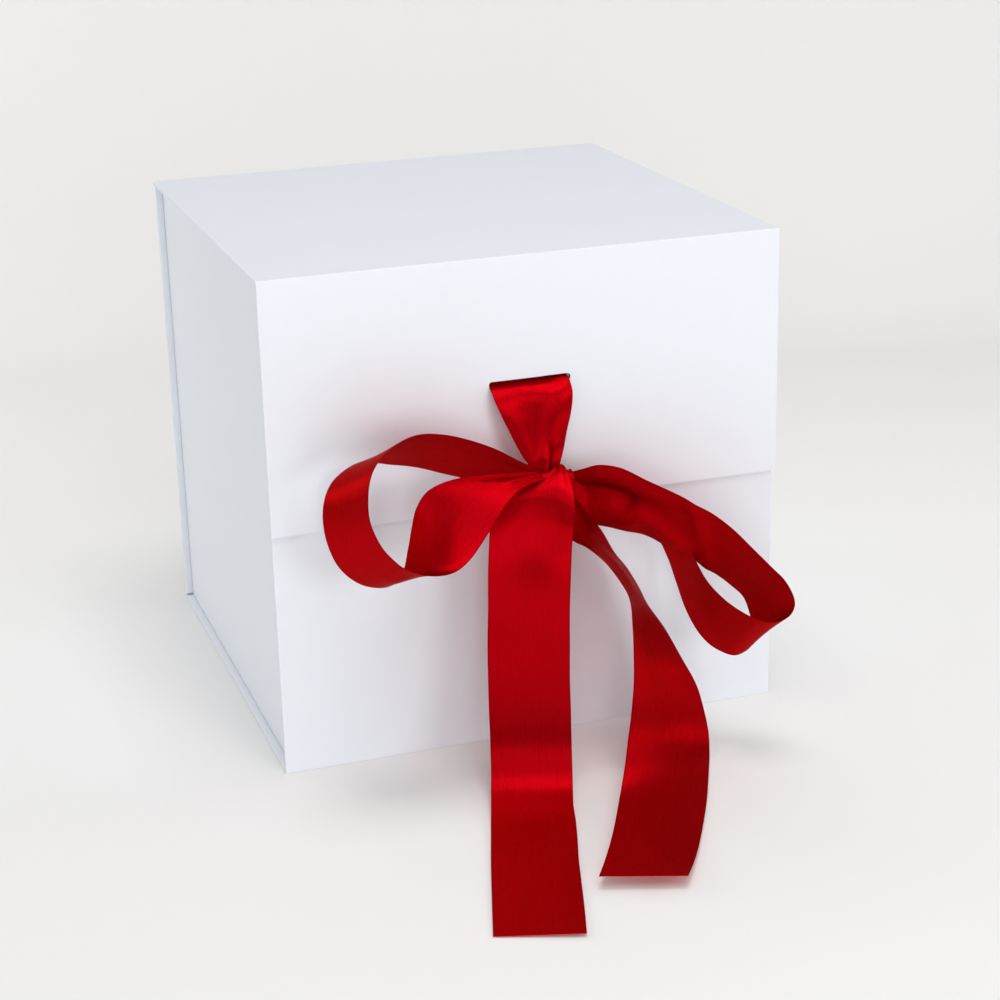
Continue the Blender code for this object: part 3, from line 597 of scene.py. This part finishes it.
def satin_material(colour):
    """The ribbon's satin, with painted shade where it is seen along its surface."""
    found = bpy.data.materials.get("woven_satin")
    if found:
        return found
    material, tree, shader = principled("woven_satin", colour, SATIN_ROUGHNESS)
    shader.inputs["Metallic"].default_value = SATIN_METALLIC
    shader.inputs["Specular IOR Level"].default_value = SATIN_SPECULAR
    shader.inputs["Specular Tint"].default_value = SATIN_TINT
    values = {
        "Colour": (*colour, 1.0),
        "Threads": RIBS,
        "Spread": THREAD_SPREAD,
        "Roughness": SATIN_ROUGHNESS,
    }
    weave = group_named("satin_weave", satin_group)
    place_group(tree, weave, shader, values, SATIN_BUMP_STRENGTH, SATIN_BUMP)
    # Painted shade: darker where it is seen along its surface, in place of the shade its threads cast on
    # each other
    woven = shader.inputs["Base Color"].links[0].from_socket
    facing = add_node(tree, "ShaderNodeLayerWeight", {"Blend": 0.5}).outputs["Facing"]
    tones = {"Value": facing, "To Min": FACED_PAINTED_TONE, "To Max": GRAZED_PAINTED_SHADE}
    tone = add_node(tree, "ShaderNodeMapRange", tones).outputs["Result"]
    painted_shade_colour = add_node(tree, "ShaderNodeVectorMath", {0: woven, "Scale": tone}, operation="SCALE").outputs[0]
    tree.links.new(painted_shade_colour, shader.inputs["Base Color"])
    return material


def metal_material(colour):
    """Plated discs with a faint grain."""
    material, tree, shader = principled("plated_disc", colour, PLATING_ROUGHNESS)
    shader.inputs["Metallic"].default_value = 1.0
    place = add_node(tree, "ShaderNodeTexCoord").outputs["Object"]
    grain = add_node(tree, "ShaderNodeTexNoise", {"Vector": place, "Scale": PLATING_SCALE, "Detail": 3.0})
    rough = add_node(
        tree,
        "ShaderNodeMath",
        {0: grain.outputs["Fac"], 1: PLATING_SWING, 2: PLATING_ROUGHNESS},
        operation="MULTIPLY_ADD",
    )
    tree.links.new(rough.outputs[0], shader.inputs["Roughness"])
    return material


def smooth_curve(points, steps):
    """Points on a Catmull-Rom curve through the given ones, evenly spaced in its parameter."""
    first = points[0] * 2 - points[1]
    last = points[-1] * 2 - points[-2]
    padded = [first, *points, last]
    curve = []
    for step in range(steps + 1):
        place = step / steps * (len(points) - 1)
        i = min(int(place), len(points) - 2)
        t = place - i
        a, b, c, d = padded[i : i + 4]
        blend = b * 2 + (c - a) * t + (a * 2 - b * 5 + c * 4 - d) * t**2 + (b * 3 - a - c * 3 + d) * t**3
        curve.append(blend / 2)
    return curve


def evened(curve_a, curve_b, count):
    """Two edges picked again at even steps along their middle line."""
    a = np.array([tuple(p) for p in curve_a])
    b = np.array([tuple(p) for p in curve_b])
    middle = (a + b) / 2
    reach = np.concatenate([[0.0], np.cumsum(np.linalg.norm(np.diff(middle, axis=0), axis=1))])
    at = np.linspace(0.0, reach[-1], count + 1)
    pick = [np.stack([np.interp(at, reach, side[:, k]) for k in range(3)], axis=1) for side in (a, b)]
    return pick[0], pick[1], reach[-1]


def ribbon_sheet(name, near_points, far_points, relief=None):
    """A satin strip between two edges, with a relief off its straight course.

    relief takes the share across, the distance along and the strip's length, and gives the height.
    """
    sizes = bpy.context.scene.bow_sizes
    colours = bpy.context.scene.box_colours
    fine = len(near_points) * CURVE_STEPS
    rows = max(LEAST_ROWS, len(near_points) * ROW_STEPS)
    near, far, length = evened(smooth_curve(near_points, fine), smooth_curve(far_points, fine), rows)
    deselect()
    bpy.ops.mesh.primitive_grid_add(x_subdivisions=SHEET_STEPS, y_subdivisions=rows, size=2.0)
    sheet = bpy.context.object
    sheet.name = name + "_sheet"
    sheet.data.name = sheet.name
    flat = np.zeros(len(sheet.data.vertices) * 3)
    sheet.data.vertices.foreach_get("co", flat)
    flat = flat.reshape(-1, 3)
    across = (flat[:, 0] + 1) / 2
    row = np.rint((flat[:, 1] + 1) / 2 * rows).astype(int)
    shown = near[row] * (1 - across)[:, None] + far[row] * across[:, None]
    # Normals of the straight course
    near_way = np.gradient(near, axis=0)[row] * (1 - across)[:, None]
    forward = near_way + np.gradient(far, axis=0)[row] * across[:, None]
    sideways = (far - near)[row]
    normal = np.cross(forward, sideways)
    normal /= np.maximum(np.linalg.norm(normal, axis=1), 1e-12)[:, None]
    width = sizes.ribbon_width
    along = row / rows * length / width
    if relief is not None:
        shown = shown + normal * relief(across, along, length / width)[:, None] * width
    sheet.data.vertices.foreach_set("co", shown.ravel())
    uv = sheet.data.uv_layers.active or sheet.data.uv_layers.new()
    uv.name = "ribbon_map"
    corner = np.zeros(len(sheet.data.loops), int)
    sheet.data.loops.foreach_get("vertex_index", corner)
    places = np.stack([across, along], axis=1)[corner]
    uv.data.foreach_set("uv", places.ravel())
    sheet.data.update()
    thick = sheet.modifiers.new("thickness", "SOLIDIFY")
    thick.thickness = sizes.ribbon_thickness
    thick.offset = 0.0
    bpy.ops.object.modifier_apply(modifier=thick.name)
    bpy.ops.object.shade_smooth_by_angle(angle=SMOOTH_ANGLE)
    sheet.data.materials.clear()
    sheet.data.materials.append(satin_material(tuple(colours.ribbon)))
    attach(sheet, "flap")
    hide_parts(name)


def fold_strip(name, half_width, centre_y, centre_z, upward, forward):
    """A quarter turn of paper round a fold line, from its flat panel's face to its upright panel's.

    upward is 1 where the flat panel's face looks up, and forward is 1 where the upright panel's
    face looks to the front.
    """
    middle = FOLD_RADIUS - PAPER_THICKNESS / 2
    place = (0.0, centre_y, centre_z + upward * middle)
    deselect()
    bpy.ops.mesh.primitive_plane_add(size=1.0, location=place, rotation=(math.pi / 2, 0.0, 0.0))
    strip = bpy.context.object
    strip.name = name
    strip.data.name = name
    strip.scale = (2 * half_width, PAPER_THICKNESS, 1.0)
    bpy.ops.object.transform_apply(location=True, rotation=True, scale=True)
    bpy.ops.object.mode_set(mode="EDIT")
    bpy.ops.mesh.select_all(action="SELECT")
    bpy.ops.mesh.spin(
        steps=FOLD_STEPS,
        angle=-math.pi / 2 * upward * forward,
        center=(0.0, centre_y, centre_z),
        axis=(1.0, 0.0, 0.0),
    )
    bpy.ops.mesh.select_all(action="SELECT")
    bpy.ops.mesh.remove_doubles(threshold=PAPER_THICKNESS / 10)
    bpy.ops.mesh.normals_make_consistent(inside=False)
    bpy.ops.object.mode_set(mode="OBJECT")
    bpy.ops.object.shade_smooth_by_angle(angle=SMOOTH_ANGLE)
    strip.data.materials.append(wrapping_paper())
    return strip


def deselect():
    """Nothing selected, and object mode."""
    if bpy.context.object and bpy.context.object.mode != "OBJECT":
        bpy.ops.object.mode_set(mode="OBJECT")
    bpy.ops.object.select_all(action="DESELECT")


def knot_centre():
    """Where the bow's knot is."""
    sizes = bpy.context.scene.bow_sizes
    return Vector((sizes.knot_side, FLAP_FACE - sizes.knot_out, FLAP_BOTTOM + sizes.knot_rise))


def bow_points(shares, column):
    """One edge of a loop."""
    width = bpy.context.scene.bow_sizes.ribbon_width
    centre = knot_centre()
    edge = (pair[column] for pair in shares)
    return [centre + Vector((across, -out, up)) * width for across, out, up in edge]


def tail_points(shares, column, top):
    """One edge of a tail, whose heights are shares of a height at the knot."""
    width = bpy.context.scene.bow_sizes.ribbon_width
    centre = knot_centre()
    edge = (pair[column] for pair in shares)
    return [
        Vector((centre.x + across * width, centre.y - out * width, top * up)) for across, out, up in edge
    ]


def relief_of(folds, start_pleats, end_pleats):
    """The height off a ribbon's smooth course, from its folds and the pleats at its two ends.

    Pleats are (count, height, reach), and all lengths are in ribbon widths.
    """

    def relief(across, along, length):
        """Height at places across (as a share) and along (in ribbon widths)."""
        total = np.zeros(len(across))
        for across_a, along_a, across_b, along_b, reach, height in folds:
            start = np.array([across_a, along_a + length * (along_a < 0)])
            end = np.array([across_b, along_b + length * (along_a < 0)])
            ridge = end - start
            place = np.stack([across, along], axis=1) - start
            share = np.clip(place @ ridge / (ridge @ ridge), 0.0, 1.0)
            away = np.linalg.norm(place - share[:, None] * ridge, axis=1)
            total += height * np.exp(-((away / reach) ** 2))
        for (count, height, reach), distance in ((start_pleats, along), (end_pleats, length - along)):
            total += height * np.sin(across * count * math.tau) * np.exp(-((distance / reach) ** 2))
        return total

    return relief


class GIFTBOX_OT_papers(bpy.types.Operator):
    """Finish the papers, boards, discs and tapes"""

    bl_idname = "giftbox.papers"
    bl_label = "Papers and boards"

    def execute(self, context):
        """Give each node of the frame its finish."""
        colours = context.scene.box_colours
        finishes = {
            "white_paper": wrapping_paper(),
            "lining_paper": lining_paper(),
            "greyboard": paper_material("grey_fibre_board", tuple(colours.board), *BOARD_GRAIN),
            "adhesive_tape": paper_material("clear_tape", tuple(colours.tape), *TAPE_GRAIN),
            "plated_steel": metal_material(tuple(colours.metal)),
        }
        for part in frame["record"]["subparts"]:
            finish = finishes.get(part["material_slot"])
            if finish:
                node = frame["nodes"][part["node"]]
                node.data.materials.clear()
                node.data.materials.append(finish)
        return {"FINISHED"}


class GIFTBOX_OT_folds(bpy.types.Operator):
    """Close the case's four folds with paper"""

    bl_idname = "giftbox.folds"
    bl_label = "Paper folds"

    def execute(self, context):
        """A rounded strip of the wrapping paper on each fold line."""
        flap = fold_strip("flap_fold", LID_HIGH.x, LID_LOW.y, FLAP_HIGH.z, upward=1, forward=1)
        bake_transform(flap)
        lid = fold_strip("lid_fold", BACK_HIGH.x, LID_HIGH.y, BACK_HIGH.z, upward=1, forward=-1)
        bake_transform(lid)
        front = fold_strip("base_front_fold", BASE_HIGH.x, BASE_LOW.y, FRONT_LOW.z, upward=-1, forward=1)
        back = fold_strip("base_back_fold", BASE_HIGH.x, BASE_HIGH.y, BACK_LOW.z, upward=-1, forward=-1)
        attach(front, "tray")
        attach(back, "tray")
        return {"FINISHED"}


def paper_block(x, y, z):
    """A thin block of paper between two places on each axis."""
    deselect()
    bpy.ops.mesh.primitive_cube_add(size=1.0, location=(sum(x) / 2, sum(y) / 2, sum(z) / 2))
    block = bpy.context.object
    block.scale = (x[1] - x[0], y[1] - y[0], z[1] - z[0])
    bpy.ops.object.transform_apply(location=True, rotation=False, scale=True)
    return block


def joined_papers(name, body, places):
    """Thin blocks of paper joined to one piece that rides a body."""
    blocks = [paper_block(*place) for place in places]
    deselect()
    for block in blocks:
        block.select_set(True)
    joined = blocks[0]
    bpy.context.view_layer.objects.active = joined
    bpy.ops.object.join()
    joined.name = name
    joined.data.name = name
    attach(joined, body)
    return joined


def edge_paper(name, body, face, end):
    """Lining paper over a board's bare margin and the board's end beside a fold."""
    cover = joined_papers(name, body, (face, end))
    cover.data.materials.append(lining_paper())


def corner_papers(name, body, half_width, y_pairs, z_pair):
    """Wrapping paper over the open ends of two folds, on both sides of the box."""
    left = (-half_width, -half_width + PAPER_THICKNESS)
    right = (half_width - PAPER_THICKNESS, half_width)
    places = [(side, y_pair, z_pair) for side in (left, right) for y_pair in y_pairs]
    corners = joined_papers(name, body, places)
    corners.data.materials.append(wrapping_paper())


class GIFTBOX_OT_fold_papers(bpy.types.Operator):
    """Cover the boards' edges beside the lid's two folds"""

    bl_idname = "giftbox.fold_papers"
    bl_label = "Papers beside the folds"

    def execute(self, context):
        """A strip beside each fold on both boards that meet there, and papers at the folds' ends."""
        board_low, board_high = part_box("lid_board")
        liner_low, liner_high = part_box("lid_liner")
        across = (liner_low.x, liner_high.x)
        whole = (board_low.x, board_high.x)
        level = (liner_low.z, liner_high.z)
        rise = (liner_low.z, board_high.z)
        front = (board_low.y - PAPER_THICKNESS, board_low.y)
        back = (board_high.y, board_high.y + PAPER_THICKNESS)
        margin = (across, (board_low.y, liner_low.y), level)
        edge_paper("lid_front_edge_paper", "lid", margin, (whole, front, rise))
        margin = (across, (liner_high.y, board_high.y), level)
        edge_paper("lid_back_edge_paper", "lid", margin, (whole, back, rise))
        ends = ((LID_LOW.y, board_low.y), (board_high.y, LID_HIGH.y))
        heights = (LID_LOW.z, LID_HIGH.z - PAPER_THICKNESS)
        corner_papers("lid_corner_papers", "lid", LID_HIGH.x, ends, heights)
        front_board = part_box("front_board")
        back_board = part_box("back_board")
        ends = ((BASE_LOW.y, front_board[1].y), (back_board[0].y, BASE_HIGH.y))
        heights = (BASE_LOW.z + PAPER_THICKNESS, front_board[0].z)
        corner_papers("base_corner_papers", "tray", BASE_HIGH.x, ends, heights)
        for name, body, board, liner in (
            ("flap_top_edge_paper", "flap", "flap_board", "flap_liner"),
            ("back_top_edge_paper", "tray", "back_board", "back_liner"),
        ):
            board_low, board_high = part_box(board)
            liner_low, liner_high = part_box(liner)
            depth = (min(board_low.y, liner_low.y), max(board_high.y, liner_high.y))
            top = (board_high.z, board_high.z + PAPER_THICKNESS)
            margin = ((liner_low.x, liner_high.x), (liner_low.y, liner_high.y), (liner_high.z, board_high.z))
            edge_paper(name, body, margin, ((board_low.x, board_high.x), depth, top))
        return {"FINISHED"}


class GIFTBOX_OT_bow_loops(bpy.types.Operator):
    """Make the bow's two loops"""

    bl_idname = "giftbox.bow_loops"
    bl_label = "Bow loops"

    def execute(self, context):
        """Two satin sheets on the loops' course."""
        for name, shares, folds in (
            ("ribbon_loop_left", LEFT_LOOP_SHARES, LEFT_FOLD_SHARES),
            ("ribbon_loop_right", RIGHT_LOOP_SHARES, RIGHT_FOLD_SHARES),
        ):
            relief = relief_of(folds, LOOP_PLEATS, LOOP_PLEATS)
            ribbon_sheet(name, bow_points(shares, 0), bow_points(shares, 1), relief)
        return {"FINISHED"}


class GIFTBOX_OT_tails(bpy.types.Operator):
    """Make the ribbon's two tails"""

    bl_idname = "giftbox.tails"
    bl_label = "Ribbon tails"

    def execute(self, context):
        """Two satin sheets on the tails' course."""
        centre = knot_centre()
        underside = centre.z - context.scene.bow_sizes.knot_size / 2
        for name, shares, top, folds in (
            ("ribbon_tail_front", FRONT_TAIL_SHARES, centre.z, FRONT_FOLD_SHARES),
            ("ribbon_tail_right", RIGHT_TAIL_SHARES, underside, RIGHT_TAIL_FOLD_SHARES),
        ):
            relief = relief_of(folds, TAIL_PLEATS, NO_PLEATS)
            ribbon_sheet(name, tail_points(shares, 0, top), tail_points(shares, 1, top), relief)
        return {"FINISHED"}


class GIFTBOX_OT_strands(bpy.types.Operator):
    """Make the strands that tie the bow to the flap"""

    bl_idname = "giftbox.strands"
    bl_label = "Ribbon strands"

    def execute(self, context):
        """The strand over the slot and the one round the flap's lower edge."""
        sizes = context.scene.bow_sizes
        centre = knot_centre()
        low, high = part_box("ribbon_upper")
        inner_y = high.y
        rest_z = high.z - sizes.ribbon_thickness * 2
        half = sizes.ribbon_width / 2
        lift = sizes.ribbon_width * SLOT_LIFT_SHARE
        middle_y = (FLAP_FACE + FLAP_INSIDE) / 2
        left = -sizes.ribbon_width * SLOT_LEFT_SHARE
        rows = [(left, half, inner_y, rest_z + lift), (left, half, middle_y, rest_z + lift * 0.5)]
        for width_share, out, down in UPPER_STRAND_SHARES:
            y = FLAP_FACE - sizes.knot_out * out
            z = rest_z + (low.z - rest_z) * down
            rows.append((left * (1 - min(down, 1.0)), width_share * sizes.ribbon_width, y, z))
        near = [Vector((x - reach, y, z)) for x, reach, y, z in rows]
        far = [Vector((x + reach, y, z)) for x, reach, y, z in rows]
        relief = relief_of(UPPER_FOLD_SHARES, NO_PLEATS, STRAND_PLEATS)
        ribbon_sheet("ribbon_upper", near, far, relief)

        low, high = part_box("ribbon_under")
        bend = (TRAY_FRONT - FLAP_FACE) / 2
        back_y = high.y - sizes.ribbon_thickness / 2
        centre_y = back_y - bend
        rows = [(0.0, half, back_y, high.z), (0.0, half, back_y, (high.z + FLAP_BOTTOM) / 2)]
        for step in range(EDGE_STEPS + 1):
            angle = math.pi * step / EDGE_STEPS
            rows.append((0.0, half, centre_y + bend * math.cos(angle), FLAP_BOTTOM - bend * math.sin(angle)))
        front_y = centre_y - bend
        for width_share, out, up in LOWER_STRAND_SHARES:
            y = front_y + (low.y - front_y) * out
            z = FLAP_BOTTOM + sizes.knot_rise * up
            rows.append((centre.x * up, width_share * sizes.ribbon_width, y, z))
        near = [Vector((x - reach, y, z)) for x, reach, y, z in rows]
        far = [Vector((x + reach, y, z)) for x, reach, y, z in rows]
        ribbon_sheet("ribbon_under", near, far)
        return {"FINISHED"}


class GIFTBOX_OT_knot(bpy.types.Operator):
    """Make the bow's knot"""

    bl_idname = "giftbox.knot"
    bl_label = "Knot"

    def execute(self, context):
        """A band of gathered ribbon, once round the strands it holds."""
        low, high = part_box("ribbon_knot")
        centre = (low + high) / 2
        reach = (high.x - low.x) * KNOT_WIDTH_SHARE / 2
        radius = (high.z - low.z) * KNOT_EDGE_SHARE / 2
        near, far = [], []
        for step in range(KNOT_STEPS + 1):
            angle = math.pi / 2 + math.tau * step / KNOT_STEPS
            ring = Vector((0.0, math.cos(angle), math.sin(angle))) * radius
            near.append(centre + ring - Vector((reach, 0.0, 0.0)))
            far.append(centre + ring + Vector((reach, 0.0, 0.0)))
        relief = relief_of(KNOT_FOLD_SHARES, KNOT_START_PLEATS, KNOT_END_PLEATS)
        ribbon_sheet("ribbon_knot", near, far, relief)
        return {"FINISHED"}


def add_sweep(colour):
    """A floor that bends up to a wall behind the box, clear where it is seen from behind."""
    material, tree, shader = principled("floor_paper", colour, FLOOR_ROUGHNESS)
    shader.inputs["Specular IOR Level"].default_value = FLOOR_SPECULAR
    behind = add_node(tree, "ShaderNodeNewGeometry").outputs["Backfacing"]
    clear = add_node(tree, "ShaderNodeBsdfTransparent").outputs["BSDF"]
    one_sided = add_node(tree, "ShaderNodeMixShader", {"Fac": behind, 1: shader.outputs["BSDF"], 2: clear})
    tree.links.new(one_sided.outputs["Shader"], tree.nodes["Material Output"].inputs["Surface"])
    floor_end = SWEEP_BACK - SWEEP_BEND
    rows = [(-SWEEP_REACH, 0.0), (floor_end, 0.0)]
    for step in range(1, SWEEP_STEPS + 1):
        angle = math.pi / 2 * step / SWEEP_STEPS
        rows.append((floor_end + SWEEP_BEND * math.sin(angle), SWEEP_BEND - SWEEP_BEND * math.cos(angle)))
    rows.append((SWEEP_BACK, SWEEP_REACH))
    deselect()
    bpy.ops.mesh.primitive_grid_add(x_subdivisions=1, y_subdivisions=len(rows) - 1, size=2.0)
    sweep = bpy.context.object
    sweep.name = "backdrop"
    turn = Matrix.Rotation(math.radians(-CAMERA_AZIMUTH), 4, "Z")
    for vertex in sweep.data.vertices:
        y, z = rows[round((vertex.co.y + 1) / 2 * (len(rows) - 1))]
        vertex.co = turn @ Vector((vertex.co.x * SWEEP_HALF_WIDTH, y, z))
    sweep.data.materials.append(material)
    bpy.ops.object.shade_smooth()
    sweep.visible_glossy = False


def add_world(settings):
    """Even light all round. Gloss sees the floor's light below and a darker studio above it."""
    world = bpy.data.worlds.new("studio")
    bpy.context.scene.world = world
    world.use_nodes = True
    tree = world.node_tree
    background = tree.nodes["Background"]
    background.inputs["Color"].default_value = (1.0, 1.0, 1.0, 1.0)
    glossy = add_node(tree, "ShaderNodeLightPath").outputs["Is Glossy Ray"]
    way = add_node(tree, "ShaderNodeTexCoord").outputs["Generated"]
    upward = add_node(tree, "ShaderNodeSeparateXYZ", {"Vector": way}).outputs["Z"]
    horizon = {"Value": upward, "From Min": HORIZON_LOW, "From Max": HORIZON_HIGH}
    seen = {"To Min": settings.mirrored_floor, "To Max": settings.mirrored}
    gloss = add_node(tree, "ShaderNodeMapRange", {**horizon, **seen}).outputs["Result"]
    strengths = {"Value": glossy, "To Min": settings.ambient, "To Max": gloss}
    strength = add_node(tree, "ShaderNodeMapRange", strengths)
    tree.links.new(strength.outputs["Result"], background.inputs["Strength"])


def add_lamp(name, power, size, place, target, in_gloss):
    """A square soft lamp that looks at a point."""
    deselect()
    bpy.ops.object.light_add(type="AREA", location=place)
    lamp = bpy.context.object
    lamp.name = name
    lamp.data.energy = power
    lamp.data.shape = "SQUARE"
    lamp.data.size = size
    lamp.rotation_euler = (Vector(target) - Vector(place)).to_track_quat("-Z", "Y").to_euler()
    lamp.visible_glossy = in_gloss


def add_camera():
    """The camera, left of the front's normal and a little tilted."""
    azimuth, elevation, roll = (math.radians(a) for a in (CAMERA_AZIMUTH, CAMERA_ELEVATION, CAMERA_ROLL))
    level = math.cos(elevation)
    back = Vector((-math.sin(azimuth) * level, -math.cos(azimuth) * level, math.sin(elevation)))
    right = (-back).cross(Vector((0, 0, 1))).normalized()
    up = right.cross(-back)
    tilted_right = right * math.cos(roll) + up * math.sin(roll)
    tilted_up = up * math.cos(roll) - right * math.sin(roll)
    deselect()
    bpy.ops.object.camera_add(location=CAMERA_PLACE)
    camera = bpy.context.object
    camera.name = "camera"
    turn = Matrix((tilted_right, tilted_up, back)).transposed()
    camera.rotation_euler = turn.to_euler()
    camera.data.sensor_width = CAMERA_SENSOR
    camera.data.lens = CAMERA_LENS
    bpy.context.scene.camera = camera


class GIFTBOX_OT_stage(bpy.types.Operator):
    """Make the floor, backdrop, lamps and camera"""

    bl_idname = "giftbox.stage"
    bl_label = "Stage"

    def execute(self, context):
        """A pale sweep, soft lamps and the camera."""
        settings = context.scene.stage_settings
        add_sweep(tuple(settings.floor))
        add_world(settings)
        for name, power, size, place, target, in_gloss in LAMPS:
            add_lamp(name, getattr(settings, power), size, place, target, in_gloss)
        add_camera()
        context.scene.view_settings.view_transform = "Standard"
        return {"FINISHED"}


class GIFTBOX_PT_panel(bpy.types.Panel):
    """The gift box's steps and settings"""

    bl_label = "Gift box"
    bl_idname = "GIFTBOX_PT_panel"
    bl_space_type = "VIEW_3D"
    bl_region_type = "UI"
    bl_category = "Gift box"

    def draw(self, context):
        """List the operators and the settings."""
        for operator in STEPS:
            self.layout.operator(operator.bl_idname)
        for group in (context.scene.bow_sizes, context.scene.box_colours, context.scene.stage_settings):
            for name in group.__annotations__:
                self.layout.prop(group, name)


STEPS = (
    GIFTBOX_OT_stage,
    GIFTBOX_OT_papers,
    GIFTBOX_OT_folds,
    GIFTBOX_OT_fold_papers,
    GIFTBOX_OT_strands,
    GIFTBOX_OT_knot,
    GIFTBOX_OT_bow_loops,
    GIFTBOX_OT_tails,
)
CLASSES = (BowSizes, BoxColours, StageSettings, *STEPS, GIFTBOX_PT_panel)


def register():
    """Register the classes and their settings."""
    for made in CLASSES:
        bpy.utils.register_class(made)
    bpy.types.Scene.bow_sizes = PointerProperty(type=BowSizes)
    bpy.types.Scene.box_colours = PointerProperty(type=BoxColours)
    bpy.types.Scene.stage_settings = PointerProperty(type=StageSettings)


def unregister():
    """Take the classes and settings away."""
    del bpy.types.Scene.stage_settings
    del bpy.types.Scene.box_colours
    del bpy.types.Scene.bow_sizes
    for made in reversed(CLASSES):
        bpy.utils.unregister_class(made)


def main():
    """Make every piece."""
    register()
    bpy.ops.giftbox.stage()
    bpy.ops.giftbox.papers()
    bpy.ops.giftbox.folds()
    bpy.ops.giftbox.fold_papers()
    bpy.ops.giftbox.strands()
    bpy.ops.giftbox.knot()
    bpy.ops.giftbox.bow_loops()
    bpy.ops.giftbox.tails()


if __name__ == "__main__":
    main()
